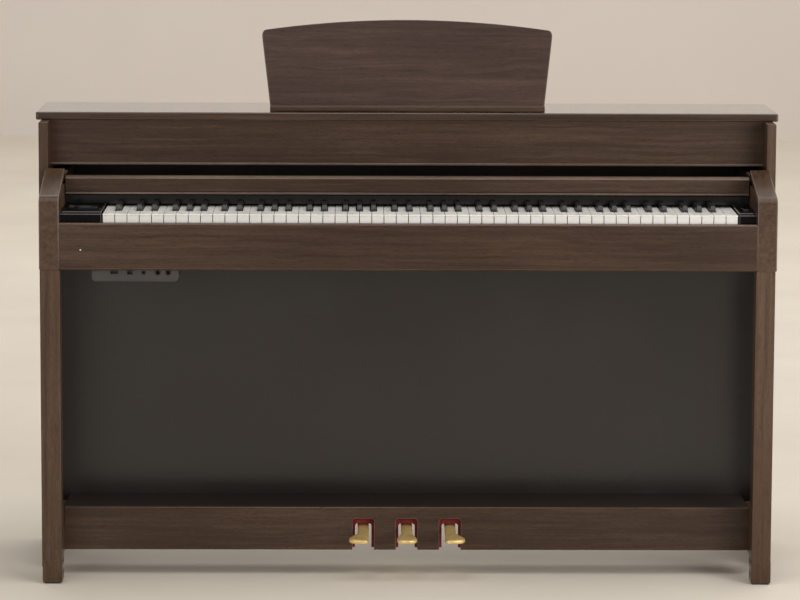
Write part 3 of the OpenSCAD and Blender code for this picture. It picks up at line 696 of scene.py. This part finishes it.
def nose_curve(foot, tip, turn=math.radians(40), steps=8):
    """An arm's nose: upright at its foot, and bent back by turn at its tip."""
    points = []
    for i in range(steps + 1):
        t = turn * i / steps
        back = (1 - math.cos(t)) / (1 - math.cos(turn))
        up = math.sin(t) / math.sin(turn)
        points.append((foot[0] + back * (tip[0] - foot[0]), foot[1] + up * (tip[1] - foot[1])))
    return points


def make_key_arm(side, word):
    """An arm beside the keys: a rounded nose, a top that slopes up, and a shelf behind it."""
    node = f"key_arm_{word}"
    low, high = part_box(node)
    inner, outer = sorted((abs(low.x), abs(high.x)))
    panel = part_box("side_panel_right")[0]
    nose_d, nose_h = 12 * MM, 15 * MM
    front_top, shelf_top = high.z - 38 * MM, high.z - 10 * MM
    side_view = [(low.y, low.z)]
    side_view += nose_curve((low.y, front_top - nose_h), (low.y + nose_d, front_top))
    side_view += [(panel.y, high.z)]
    inner_view = side_view + [(panel.y, shelf_top), (high.y, shelf_top), (high.y, low.z)]
    outer_view = side_view + [(panel.y, low.z)]
    inner_part = prism_data(inner_view, "x", *sorted((side * inner, side * panel.x)))
    outer_part = prism_data(outer_view, "x", *sorted((side * panel.x, side * outer)))
    arm = combine(mesh_object(f"arm_{word}", *inner_part), [outer_part], "UNION")
    clean = bmesh.new()
    clean.from_mesh(arm.data)
    bmesh.ops.remove_doubles(clean, verts=clean.verts, dist=0.00001)
    bmesh.ops.dissolve_limit(clean, angle_limit=0.01, verts=clean.verts, edges=clean.edges)
    clean.to_mesh(arm.data)
    clean.free()
    arm.data.shade_smooth()
    round_edges(arm, 2.2 * MM, 4, 12)
    paint(arm, wood_y, wood_edge_highlight_y)
    keep_modifiers(arm)
    slot_x = sorted((side * (inner - 1 * MM), side * (inner + GROOVE_DEPTH)))
    combine(arm, [prism_data(groove_outline(), "x", *slot_x)])
    dress(arm, wood_y, [node], edge=wood_edge_highlight_y)


# ---------------------------------------------------------------- pedal box


def notch(centre_x, half, bottom, top, radius):
    """The outline of one notch from its lower left to its lower right, with round upper corners."""
    left = arc((centre_x - half + radius, top - radius), (radius, radius), 180, 90, 6)
    right = arc((centre_x + half - radius, top - radius), (radius, radius), 90, 0, 6)
    return [(centre_x - half, bottom), *left, *right, (centre_x + half, bottom)]


PEDAL_WORDS = ("left", "center", "right")
PEDAL_HALF = 11 * MM
NOTCH_HALF = 21 * MM
NOTCH_TOP = 112 * MM


def pedal_x(word):
    return JOINTS[f"pedal_{word}_press"]["pos_m"][0]


def make_kick_board():
    """The board that the pedals come through, with its three notches."""
    low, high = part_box("kick_board")
    outline = [(low.x, high.z), (low.x, low.z)]
    for word in PEDAL_WORDS:
        outline += notch(pedal_x(word), NOTCH_HALF, low.z, NOTCH_TOP, 6 * MM)
    outline += [(high.x, low.z), (high.x, high.z)]
    kick = prism_data(outline, "y", low.y, high.y)
    soft_piece("kick_panel", [kick], 1.2 * MM, wood_x, ["kick_board"], edge=wood_edge_highlight_x)


def make_pedal_felts():
    """A felt collar behind the top and the sides of each notch."""
    low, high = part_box("pedal_felts")
    lip, drop = 5 * MM, 12.5 * MM
    half = NOTCH_HALF + 6 * MM
    parts = []
    for word in PEDAL_WORDS:
        x = pedal_x(word)
        outline = [(x - half, low.z), (x - half, high.z), (x + half, high.z), (x + half, low.z)]
        outline += notch(x, NOTCH_HALF - lip, low.z, NOTCH_TOP - drop, 5 * MM)[::-1]
        parts.append(prism_data(outline, "y", low.y, high.y))
    soft_piece("felt_collars", parts, 1.1 * MM, felt, ["pedal_felts"])


def smooth_step(value, low, high):
    t = min(max((value - low) / (high - low), 0.0), 1.0)
    return t * t * (3 - 2 * t)


def pedal_ring(x, y, z, left, right, thick, points=28):
    """A rounded slab's cross-section, its top at z."""
    half = (left + right) / 2
    middle = x + (right - left) / 2
    ring = []
    for i in range(points):
        turn = math.tau * i / points
        across, up = math.cos(turn), math.sin(turn)
        u = math.copysign(abs(across) ** 0.42, across)
        v = math.copysign(abs(up) ** 0.55, up)
        crown = 0.9 * MM * (1 - u * u) if v > 0 else 0.0
        ring.append((middle + half * u, y, z - thick / 2 + thick / 2 * v + crown))
    return ring


def make_pedal(word):
    """A cast pedal: a flared, rounded toe on a sloping arm, and the hub that turns on the shaft."""
    node = f"pedal_{word}"
    low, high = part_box(node)
    joint = JOINTS[f"pedal_{word}_press"]
    x, pivot_y, pivot_z = joint["pos_m"]
    half, full = PEDAL_HALF, 8 * MM
    flare_left, flare_right = x - half - low.x, high.x - x - half
    toe_y, kick_y = low.y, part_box("kick_board")[0].y
    toe_z, lever_z = low.z + full, pivot_z + 10 * MM
    rings = []
    stations = (0, 0.7, 2, 4, 7, 11, 15, 19, 24, 29, 34, 40, 47, 55, 64, 77, 90, 120, 150, 190, 200)
    for station in stations:
        run = station * MM
        y = toe_y + 0.4 * MM + run
        rise = smooth_step(run, -20 * MM, kick_y - toe_y + 20 * MM)
        z = toe_z - 1 * MM + (lever_z - toe_z) * rise
        nose = math.sqrt(max(0.0, 1 - (1 - min(run / (14 * MM), 1.0)) ** 2))
        flare = smooth_step(run, -3 * MM, 9 * MM) * (1 - smooth_step(run, 15 * MM, 48 * MM))
        body = (half - 5 * MM) + 5 * MM * nose
        edge = smooth_step(run, -3 * MM, 5 * MM)
        thick = full * (0.45 + 0.55 * edge)
        z -= (1 - edge) * 1.2 * MM
        rings.append(pedal_ring(x, y, z, body + flare_left * flare, body + flare_right * flare, thick))
    bore_r, hub_r, chamfer = 4.1 * MM, 9.8 * MM, 1 * MM
    rim_r = 9 * MM
    profile = [(bore_r, -half), (rim_r, -half), (hub_r, -half + chamfer), (hub_r, half - chamfer),
               (rim_r, half), (bore_r, half), (bore_r, -half)]
    hub = lathe_data(profile, (x, pivot_y, pivot_z), "x", 40)
    smooth_piece(f"pedal_{word}_cast", [loft_data(rings), hub], 50, brass, [node], node)


def make_pedal_springs():
    """A torsion spring on the shaft beside each pedal, its two legs reaching forward over the lever."""
    wire, coil_r, turns, pitch, steps = 1.3 * MM, 6.4 * MM, 4, 2.45 * MM, 20
    parts = []
    for word in PEDAL_WORDS:
        x, y, z = JOINTS[f"pedal_{word}_press"]["pos_m"]
        start = x + PEDAL_HALF + 4 * MM
        end = start + pitch * turns
        top, near, far = z + coil_r, y - 15 * MM, y - 30 * MM
        path = [(start, far, top), (start, near, top)]
        for i in range(steps * turns + 1):
            turn = math.tau * i / steps
            path.append((start + pitch * i / steps, y + coil_r * math.sin(turn), z + coil_r * math.cos(turn)))
        path += [(end, near, top), (end, far, top)]
        parts.append(tube_data(path, wire, 10))
    smooth_piece("torsion_springs", parts, 60, steel, ["pedal_springs"])


# ---------------------------------------------------------------- keyboard

WHITES = 52
LOWEST_STEP = 5
HAS_SHARP = (1, 1, 0, 1, 1, 1, 0)
SHARP_OFFSET = (-2.6, 2.6, 0.0, -3.6, 0.0, 3.6, 0.0)
KEY_GAP = 0.9 * MM
OCTAVE_FIRST, OCTAVE_LAST = 23, 29
WHITE_NAMES = ("key_c", "key_d", "key_e", "key_f", "key_g", "key_a", "key_b")

KEYS_LOW, KEYS_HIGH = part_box("white_keys")
SHARPS_LOW, SHARPS_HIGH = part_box("black_keys")
SHARP_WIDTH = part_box("key_c_sharp")[1].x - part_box("key_c_sharp")[0].x
PITCH = (KEYS_HIGH.x - KEYS_LOW.x + KEY_GAP) / WHITES


def key_step(k):
    return (k + LOWEST_STEP) % 7


def white_x(k):
    """The line between white keys k - 1 and k."""
    return KEYS_LOW.x - KEY_GAP / 2 + k * PITCH


def sharp_after(k):
    return 0 <= k < WHITES - 1 and HAS_SHARP[key_step(k)] == 1


def sharp_x(k):
    return white_x(k + 1) + SHARP_OFFSET[key_step(k)] * MM


def white_outline(k, inset, front_inset):
    """A white key from above: broad in front, and cut back beside the black keys."""
    slot_half = SHARP_WIDTH / 2 + 1.1 * MM
    left, right = white_x(k) + KEY_GAP / 2 + inset, white_x(k + 1) - KEY_GAP / 2 - inset
    tail_left = sharp_x(k - 1) + slot_half + inset if sharp_after(k - 1) else left
    tail_right = sharp_x(k) - slot_half - inset if sharp_after(k) else right
    front, back = KEYS_LOW.y + front_inset, KEYS_HIGH.y
    shoulder = SHARPS_LOW.y - 1.2 * MM - inset
    points = [(left, front), (right, front), (right, shoulder)]
    if tail_right != right:
        points += [(tail_right, shoulder)]
    points += [(tail_right, back), (tail_left, back)]
    if tail_left != left:
        points += [(tail_left, shoulder)]
    points += [(left, shoulder)]
    return [p for i, p in enumerate(points) if p != points[i - 1]]


def white_key_data(k):
    """The key's cap, whose front lip hangs over the body below it."""
    cap_z = KEYS_HIGH.z - 2.8 * MM
    cap = prism_data(white_outline(k, 0, 0), "z", cap_z, KEYS_HIGH.z)
    body = prism_data(white_outline(k, 0.25 * MM, 1.4 * MM), "z", KEYS_LOW.z, cap_z)
    return merged([cap, body])


def black_key_data(k):
    """A black key: narrower at the top, its front upright below and sloping back above."""
    x, half = sharp_x(k), SHARP_WIDTH / 2
    white_top = KEYS_HIGH.z
    front, back = SHARPS_LOW.y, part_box("nameboard")[0].y - 1.5 * MM
    levels = [
        (white_top - 6 * MM, half, front),
        (white_top + 4 * MM, half - 0.35 * MM, front + 0.7 * MM),
        (SHARPS_HIGH.z, half - 0.9 * MM, front + 7 * MM),
    ]
    rings = [
        [(x - w, y, z), (x + w, y, z), (x + w, back, z), (x - w, back, z)] for z, w, y in levels
    ]
    tail = box_data((x - half, front + 2 * MM, KEYS_LOW.z), (x + half, KEYS_HIGH.y, white_top - 5 * MM))
    return merged([loft_data(rings), tail])


def make_key(name, data, material, node, body=CABINET):
    width = (0.7 if material is ivory else 1.3) * MM
    soft_piece(name, [data], width, material, [node], body, bevel=(3, 20))


def make_keyboard():
    """Two sets of keys that stay still, and the middle octave key by key."""
    whites, blacks = [], []
    for k in range(WHITES):
        if OCTAVE_FIRST <= k <= OCTAVE_LAST:
            word = WHITE_NAMES[key_step(k)]
            make_key(f"{word}_cap", white_key_data(k), ivory, word, word)
            if sharp_after(k):
                name = f"{word}_sharp"
                make_key(f"{name}_cap", black_key_data(k), ebony, name, name)
            continue
        whites.append(white_key_data(k))
        if sharp_after(k):
            blacks.append(black_key_data(k))
    make_key("white_key_set", merged(whites), ivory, "white_keys")
    make_key("black_key_set", merged(blacks), ebony, "black_keys")


def make_nameboard():
    """The gloss board behind the keys, round along its upper front edge."""
    low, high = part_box("nameboard")
    outline = [(low.y, low.z), (high.y, low.z), (high.y, high.z)]
    outline += arc((low.y + 4 * MM, high.z - 4 * MM), (4 * MM, 4 * MM), 90, 180, 5)
    face = prism_data(outline, "x", low.x, high.x)
    soft_piece("name_board", [face], 0.5 * MM, nameboard_black, ["nameboard"])


def make_end_block(name, node, openings):
    """A block beside the keys, bevelled for the closing cover to pass over, with openings in its top."""
    low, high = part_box(node)
    outline = [(low.y, low.z), (low.y, high.z - 5.5 * MM), (low.y + 10 * MM, high.z), (high.y, high.z),
               (high.y, low.z)]
    block = round_edges(prism(name, outline, "x", low.x, high.x), 1.2 * MM)
    paint(block, gloss_black, gloss_edge_highlight)
    keep_modifiers(block)
    combine(block, openings)
    dress(block, gloss_black, [node], edge=gloss_edge_highlight)


def make_end_block_left():
    """The control block, with a slot for the slider and a pocket for the display."""
    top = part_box("end_block_left")[1].z
    slider_low, slider_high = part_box("volume_slider")
    display_low, display_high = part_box("panel_display")
    slider = (slider_low + slider_high) / 2
    slot = box_data((slider.x - 3 * MM, slider.y - 25 * MM, top - 8 * MM),
                    (slider.x + 3 * MM, slider.y + 25 * MM, top + 1 * MM))
    rim = 0.5 * MM
    pocket = box_data((display_low.x - rim, display_low.y - rim, display_low.z),
                      (display_high.x + rim, display_high.y + rim, top + 1 * MM))
    make_end_block("control_block", "end_block_left", [slot, pocket])


def make_end_block_right():
    """The treble block, with the well of the power button."""
    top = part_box("end_block_right")[1].z
    button_low, button_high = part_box("power_button")
    middle = (button_low + button_high) / 2
    profile = millimetres([(0, -8), (6.4, -8), (6.4, 1), (0, 1)])
    well = lathe_data(profile, (middle.x, middle.y, top), "z", 48)
    make_end_block("treble_block", "end_block_right", [well])


def make_power_button():
    """A round button with a dished top."""
    low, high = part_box("power_button")
    middle = (low + high) / 2
    r = (high.x - low.x) / 2
    tall = high.z - low.z
    profile = [(0, 0), (r, 0), (r, tall - 0.9 * MM), (r - 0.3 * MM, tall - 0.3 * MM), (r - 0.9 * MM, tall),
               (r - 1.8 * MM, tall - 0.15 * MM), (r * 0.4, tall - 0.6 * MM), (0, tall - 0.7 * MM)]
    cap = lathe_data(profile, (middle.x, middle.y, low.z), "z", 48)
    smooth_piece("power_button_cap", [cap], 50, black_plastic, ["power_button"],
                 "power_button")


def make_volume_slider():
    """A slider cap, hollowed across its top for a fingertip, on its stem."""
    low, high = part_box("volume_slider")
    middle = (low + high) / 2
    cap_z = high.z - 4.5 * MM
    dip = arc((middle.y, high.z + 3.5 * MM), (6 * MM, 5 * MM), 225, 315, 8)
    outline = [(low.y, cap_z), (high.y, cap_z), (high.y, high.z), *dip[::-1], (low.y, high.z)]
    cap = prism_data(outline, "x", low.x, high.x)
    stem_x, stem_y = 2.2 * MM, 4 * MM
    stem = box_data((middle.x - stem_x, middle.y - stem_y, low.z),
                    (middle.x + stem_x, middle.y + stem_y, cap_z))
    soft_piece("volume_slider_cap", [cap, stem], 0.5 * MM, black_plastic,
               ["volume_slider"], "volume_slider")


def make_display():
    """The display's glass, with a raised frame inside its edge."""
    low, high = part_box("panel_display")
    frame_w, sunk = 2 * MM, 0.5 * MM
    steps = ((0, low.z), (0, high.z), (frame_w, high.z), (frame_w, high.z - sunk))
    soft_piece("display_window", [stepped_data(low, high, steps)], 0.25 * MM, display_glass,
               ["panel_display"], bevel=(2, 35))


# ---------------------------------------------------------------- key cover


def make_cover_rail():
    """The rail across the cover's front: a bevelled top, and a finger groove over its lower lip."""
    low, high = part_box("key_cover_rail")
    lip, bevel_h, bevel_d, bite = 4 * MM, 5 * MM, 6 * MM, 2 * MM
    outline = [(high.y, low.z), (low.y, low.z), (low.y, low.z + lip)]
    outline += arc((low.y, low.z + lip + bite / 2), (bite, bite / 2), -80, 80, 8)
    outline += [(low.y, low.z + lip + bite), (low.y, high.z - bevel_h), (low.y + bevel_d, high.z),
                (high.y, high.z)]
    rail = prism("cover_rail", outline, "x", low.x, high.x)
    # The front faces of the lower lip and of the top bevel take the second, lighter material: a painted
    # highlight.
    for face in rail.data.polygons:
        on_lip = face.center.z < low.z + lip
        on_bevel = face.center.z > high.z - bevel_h
        if face.normal.y < -0.1 and (on_lip or on_bevel):
            face.material_index = 1
    round_edges(rail, 1.2 * MM, 3, 40)
    dress(rail, wood_x, ["key_cover_rail"], "key_cover", wood_edge_highlight_x)


# ---------------------------------------------------------------- music rest


REST_LEAN = math.radians(20)
REST_THICK = 15 * MM
REST_BACK = 6 * MM


def rest_place():
    """Turns the plate's own frame (x, -v, u) into the row frame."""
    place = JOINTS["music_rest_fold"]["pos_m"]
    return Matrix.Translation(place) @ Matrix.Rotation(-REST_LEAN, 4, "X")


def rest_outline():
    """The plate: sides that spread upward, round upper corners and a low arch on top."""
    top_half, foot_half = (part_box(node)[1].x for node in ("music_rest_plate", "music_rest_ledge"))
    foot, side_top, arch, corner = -6 * MM, 150 * MM, 22 * MM, 14 * MM
    radius = (top_half ** 2 + arch ** 2) / (2 * arch)
    centre_u = side_top + arch - radius
    reach = math.degrees(math.asin((top_half - 0.7 * corner) / radius))
    top = arc((0, centre_u), (radius, radius), 90 - reach, 90 + reach, 40)
    slope = (top_half - foot_half) / (side_top - foot)
    right_edge = (top_half - slope * 1.2 * corner, side_top - 1.2 * corner)
    right_corner = corner_curve(right_edge, (top_half + 0.2 * MM, side_top), top[0])
    left_corner = [(-x, u) for x, u in right_corner[::-1]]
    return [(foot_half, foot), *right_corner, *top[1:-1], *left_corner, (-foot_half, foot)]


def corner_curve(start, control, end, steps=6):
    """A quadratic curve from start to end that leans towards control."""
    points = []
    for i in range(steps + 1):
        t = i / steps
        points.append(tuple(
            (1 - t) ** 2 * a + 2 * t * (1 - t) * b + t * t * c for a, b, c in zip(start, control, end)
        ))
    return points


def make_rest_plate():
    plate = prism("rest_plate", rest_outline(), "y", -REST_BACK - REST_THICK, -REST_BACK)
    plate.data.transform(rest_place())
    round_edges(plate, 1.8 * MM, 3, 30)
    dress(plate, wood_rest, ["music_rest_plate"], "music_rest", wood_edge_highlight_x)


def make_rest_ledge():
    """The ledge in front of the plate, with a rounded front and a shallow groove for the paper."""
    low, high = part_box("music_rest_ledge")
    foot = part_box("top_lid")[1].z + 0.6 * MM
    nose = (high.z - foot) / 2
    slope = math.tan(REST_LEAN)
    outline = arc((low.y + nose * 0.6, foot + nose), (nose * 0.6, nose), 90, 270, 10)
    groove = arc((low.y + 12 * MM, high.z), (1.6 * MM, 1.2 * MM), 180, 360, 6)
    outline += [(high.y - nose * 2 * slope, foot), (high.y, high.z), *groove[::-1]]
    ledge = prism_data(outline, "x", low.x, high.x)
    soft_piece("rest_ledge", [ledge], 0.6 * MM, wood_x, ["music_rest_ledge"], "music_rest",
               wood_edge_highlight_x, (2, 40))


def make_rest_stays():
    """Two bent wire stays, each a loop with round corners."""
    low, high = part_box("rest_stays")
    joint = JOINTS["rest_stay_fold"]["pos_m"]
    wire, corner, length, half = 2.4 * MM, 5 * MM, 72 * MM, 20 * MM
    lean = math.acos((joint[2] - low.z - wire) / length)
    middle = high.x - half - 2.5 * MM
    loop = []
    for cx, cz, start in ((half - corner, -corner, 90), (-half + corner, -corner, 180),
                          (-half + corner, -length + corner, 270), (half - corner, -length + corner, 360)):
        loop += arc((cx, cz), (corner, corner), start - 90, start, 5)
    parts = []
    for side in (-1, 1):
        place = Matrix.Translation((side * middle, joint[1], joint[2])) @ Matrix.Rotation(lean, 4, "X")
        path = [place @ Vector((x, 0, z)) for x, z in [*loop, loop[0]]]
        parts.append(tube_data(path, wire, 12))
    smooth_piece("wire_stays", parts, 60, steel, ["rest_stays"], "rest_stays")


# ---------------------------------------------------------------- electrics


PHONE_X = (-482 * MM, -462 * MM)
ROUND_X = -509 * MM
FLAT_X = (-573 * MM, -558 * MM)
SQUARE_X = (-541 * MM, -530 * MM)
FLAT_Z = (-3.5, 4.0)
SQUARE_Z = (-4.5, 4.5)
JACK_Z = 606 * MM


def make_jack_box():
    """The box under the keybed, round at its lower corners, with a well for each socket."""
    low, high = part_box("jack_box")
    r = 8 * MM
    outline = [(low.x, high.z)]
    outline += arc((low.x + r, low.z + r), (r, r), 180, 270, 6)
    outline += arc((high.x - r, low.z + r), (r, r), 270, 360, 6)
    outline += [(high.x, high.z)]
    box = round_edges(prism("jack_housing", outline, "y", low.y, high.y), 1.0 * MM, 3, 40)
    keep_modifiers(box)
    proud, deep = -2 * MM, 15 * MM
    wells = [
        lathe_data([(0, proud), (r, proud), (r, deep), (0, deep)], (x, low.y, JACK_Z), "y", 32)
        for x, r in ((PHONE_X[0], 6.6 * MM), (PHONE_X[1], 6.6 * MM), (ROUND_X, 4.7 * MM))
    ]
    for x, z in ((FLAT_X, FLAT_Z), (SQUARE_X, SQUARE_Z)):
        corner = (x[0], low.y + proud, JACK_Z + z[0] * MM)
        wells.append(box_data(corner, (x[1], low.y + deep, JACK_Z + z[1] * MM)))
    combine(box, wells)
    sharpen(box, 30)
    dress(box, jack_plastic, ["jack_box"])


def make_jack_sockets():
    """Ring-shaped phone sockets with collars, and the flat, square and round sockets."""
    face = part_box("jack_box")[0].y
    phone = [(0, 13), (3.3, 13), (3.3, 2.0), (4.6, 0.6), (5.6, 0.2), (6.4, 0.8), (6.4, 14), (0, 14)]
    plain = [(0, 9), (2.6, 9), (2.9, 1.0), (4.5, 1.0), (4.5, 14), (0, 14)]
    parts = [lathe_data(millimetres(phone), (x, face, JACK_Z), "y", 32) for x in PHONE_X]
    parts.append(lathe_data(millimetres(plain), (ROUND_X, face, JACK_Z), "y", 24))
    for x, z in ((FLAT_X, FLAT_Z), (SQUARE_X, SQUARE_Z)):
        rings = []
        for inset, y in ((0.1, 14), (0.1, 0.6), (0.9, 0.6), (1.2, 9)):
            u = (x[0] + inset * MM, x[1] - inset * MM)
            v = (JACK_Z + (z[0] + inset) * MM, JACK_Z + (z[1] - inset) * MM)
            rings.append([(a, face + y * MM, b) for a, b in rectangle(u, v)])
        parts.append(loft_data(rings))
    smooth_piece("socket_inserts", parts, 30, black_plastic, ["jack_sockets"])
    ring = [(4.9, 0.3), (5.2, -0.3), (6.0, -0.3), (6.3, 0.2), (6.3, 0.9), (4.9, 0.9), (4.9, 0.3)]
    for index, x in enumerate(PHONE_X):
        ferrule = lathe_data(millimetres(ring), (x, face, JACK_Z), "y", 32)
        smooth_piece(f"socket_ferrule_{index + 1}", [ferrule], 50, jack_plastic)


def make_power_lamp():
    """A lens in a black bezel on the slip's face."""
    low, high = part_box("power_lamp")
    centre = ((low.x + high.x) / 2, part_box("key_slip")[0].y, (low.z + high.z) / 2)
    bezel = [(1.9, 1.5), (2.1, 0.1), (2.8, -0.4), (3.9, -0.45), (4.6, 0.1), (4.6, 1.5), (1.9, 1.5)]
    ring = lathe_data(millimetres(bezel), centre, "y", 32)
    smooth_piece("lamp_bezel", [ring], 50, black_plastic)
    dome = [(0, -0.4), (0.7, -0.35), (1.4, -0.1), (1.9, 0.4), (1.9, 6), (0, 6)]
    glass = lathe_data(millimetres(dome), centre, "y", 24)
    smooth_piece("lamp_dome", [glass], 50, lens, ["power_lamp"])


def make_speaker_grilles():
    """A cloth dome in a pressed rim under each speaker."""
    low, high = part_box("speaker_grilles")
    r = (high.y - low.y) / 2
    dome = millimetres([(0, -4.6), (30, -4.2), (50, -3.4), (64, -2.0), (66, 0), (0, 0)])
    rim = [(r, 0), (r, -3.4 * MM), (r - 1.5 * MM, -5 * MM), (r - 5 * MM, -5 * MM), (r - 7 * MM, -3 * MM),
           (r - 7 * MM, 0), (r, 0)]
    cloths, rims = (
        [lathe_data(profile, (x, (low.y + high.y) / 2, high.z), "z", 64) for x in (low.x + r, high.x - r)]
        for profile in (dome, rim)
    )
    smooth_piece("grille_cloths", cloths, 50, grille_weave, ["speaker_grilles"])
    smooth_piece("grille_rims", rims, 35, black_plastic)


def screw_data(x, y, z):
    """A round head facing +Y, with a six-sided socket in it."""
    segments = 24
    profile = [(5.0, 0.0), (5.0, 0.9), (4.4, 1.6), (3.4, 2.0), (2.3, 2.0), (2.2, 0.7), (0.0, 0.5)]
    verts, faces = lathe_data(millimetres(profile), (x, y, z), "y", segments)
    hexed = []
    for index, (vx, vy, vz) in enumerate(verts):
        if 4 * segments <= index < 6 * segments:
            turn = math.atan2(vz - z, vx - x)
            pull = math.cos(math.pi / 6) / math.cos((turn % (math.pi / 3)) - math.pi / 6)
            vx, vz = x + (vx - x) * pull, z + (vz - z) * pull
        hexed.append((vx, vy, vz))
    return hexed, faces


def make_screws():
    """The screws along the edges of the lower and the upper back."""
    lower_low, lower_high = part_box("back_board")
    upper_low, upper_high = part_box("cabinet_back")
    edge = 12 * MM
    parts = []
    for share in (-1, -0.5, 0, 0.5, 1):
        x = share * (upper_high.x - edge)
        for z in (lower_low.z + edge, (lower_low.z + lower_high.z) / 2, lower_high.z - edge):
            parts.append(screw_data(x, lower_high.y, z))
        for z in (upper_low.z + edge, upper_high.z - edge):
            parts.append(screw_data(x, upper_high.y, z))
    smooth_piece("panel_screws", parts, 40, steel, ["assembly_screws"])


# ---------------------------------------------------------------- stage, light and camera


def pale(name, low, high, roughness, scale):
    """A pale plaster or stone surface with a barely seen unevenness."""
    material, tree, shader = new_material(name)
    drift = noise(tree, (scale, scale, scale), 4, 0.6)
    fine = noise(tree, (90, 90, 90), 3, 0.6)
    colour = ramp(tree, drift, [(0.3, low), (0.7, high)])
    connect(tree, shader, Base_Color=colour, Roughness=roughness)
    bump(tree, shader, fine, 0.0002, 0.3)
    return material


def make_stage():
    """The floor, and a wall far behind the object."""
    reach, front, height = 9.0, -12.0, 6.0
    wall_y = CAD_BOX[1].y + 9.0
    foot = [(reach, wall_y, 0), (-reach, wall_y, 0)]
    floor = mesh_object("floor", [(-reach, front, 0), (reach, front, 0), *foot], [(0, 1, 2, 3)])
    wall = mesh_object(
        "wall", [*foot[::-1], (reach, wall_y, height), (-reach, wall_y, height)], [(0, 1, 2, 3)]
    )
    floor.data.materials.append(pale("pale_floor", (0.78, 0.71, 0.61), (0.86, 0.79, 0.685), 0.85, 1.2))
    wall.data.materials.append(pale("pale_wall", (0.76, 0.705, 0.66), (0.80, 0.745, 0.70), 0.9, 0.8))


def softbox(name, place, target, size, power, colour):
    data = bpy.data.lights.new(name, "AREA")
    data.shape = "RECTANGLE"
    data.size, data.size_y = size
    data.energy = power
    data.color = colour
    lamp = link(bpy.data.objects.new(name, data))
    lamp.location = place
    lamp.rotation_euler = (Vector(target) - Vector(place)).to_track_quat("-Z", "Y").to_euler()


def make_lights():
    softbox("overhead", (0.6, -0.5, 3.3), (0.2, 0.3, 0.3), (4.5, 2.4), 66, (1.0, 0.97, 0.93))
    softbox("front_right", (3.6, -5.6, 1.5), (0.1, 0, 0.6), (2.6, 2.4), 105, (1.0, 0.97, 0.95))
    softbox("right_side", (2.1, -1.9, 0.9), (0.7, -0.2, 0.5), (0.9, 1.4), 16, (1.0, 0.97, 0.95))
    softbox("front_left", (-3.0, -6.2, 1.4), (0, 0, 0.5), (2.6, 2.4), 62, (1.0, 0.98, 0.96))
    softbox("backdrop", (0.8, 4.6, 4.6), (0.8, 5.8, 0.6), (9.0, 4.4), 200, (1.0, 0.97, 0.93))
    world = bpy.data.worlds.new("studio")
    bpy.context.scene.world = world
    world.use_nodes = True
    background = world.node_tree.nodes["Background"]
    background.inputs["Color"].default_value = (1.0, 0.97, 0.94, 1)
    background.inputs["Strength"].default_value = 0.29
    bpy.context.scene.view_settings.view_transform = "Standard"


def make_camera():
    """A long lens far in front, a little above the lid, tilted down towards the keys."""
    place = Vector((-0.09923, -7.46991, 1.53851))
    yaw, pitch, roll = (math.radians(a) for a in (0.66, 7.72, 0.23))
    data = bpy.data.cameras.new("camera")
    data.sensor_width = 36
    data.lens = 171.2255
    camera = link(bpy.data.objects.new("camera", data))
    turn = Matrix.Rotation(-yaw, 4, "Z") @ Matrix.Rotation(math.pi / 2 - pitch, 4, "X")
    camera.matrix_world = Matrix.Translation(place) @ turn @ Matrix.Rotation(roll, 4, "Z")
    bpy.context.scene.camera = camera


# ---------------------------------------------------------------- the whole


def build():
    make_camera()
    dress_carried_nodes()
    make_lid()
    make_upper_board()
    for side, word in ((-1, "left"), (1, "right")):
        make_side_panel(word)
        make_front_leg(word)
        make_key_arm(side, word)
    make_toes()
    make_key_slip()
    make_kick_board()
    board("box_top_board", "pedal_box_top", inner_wood, 1 * MM)
    make_pedal_felts()
    for word in PEDAL_WORDS:
        make_pedal(word)
    make_pedal_springs()
    make_keyboard()
    make_nameboard()
    make_end_block_left()
    make_end_block_right()
    make_power_button()
    make_volume_slider()
    make_display()
    make_cover_rail()
    make_rest_plate()
    make_rest_ledge()
    make_rest_stays()
    make_jack_box()
    make_jack_sockets()
    make_power_lamp()
    make_speaker_grilles()
    make_screws()
    make_stage()
    make_lights()


build()
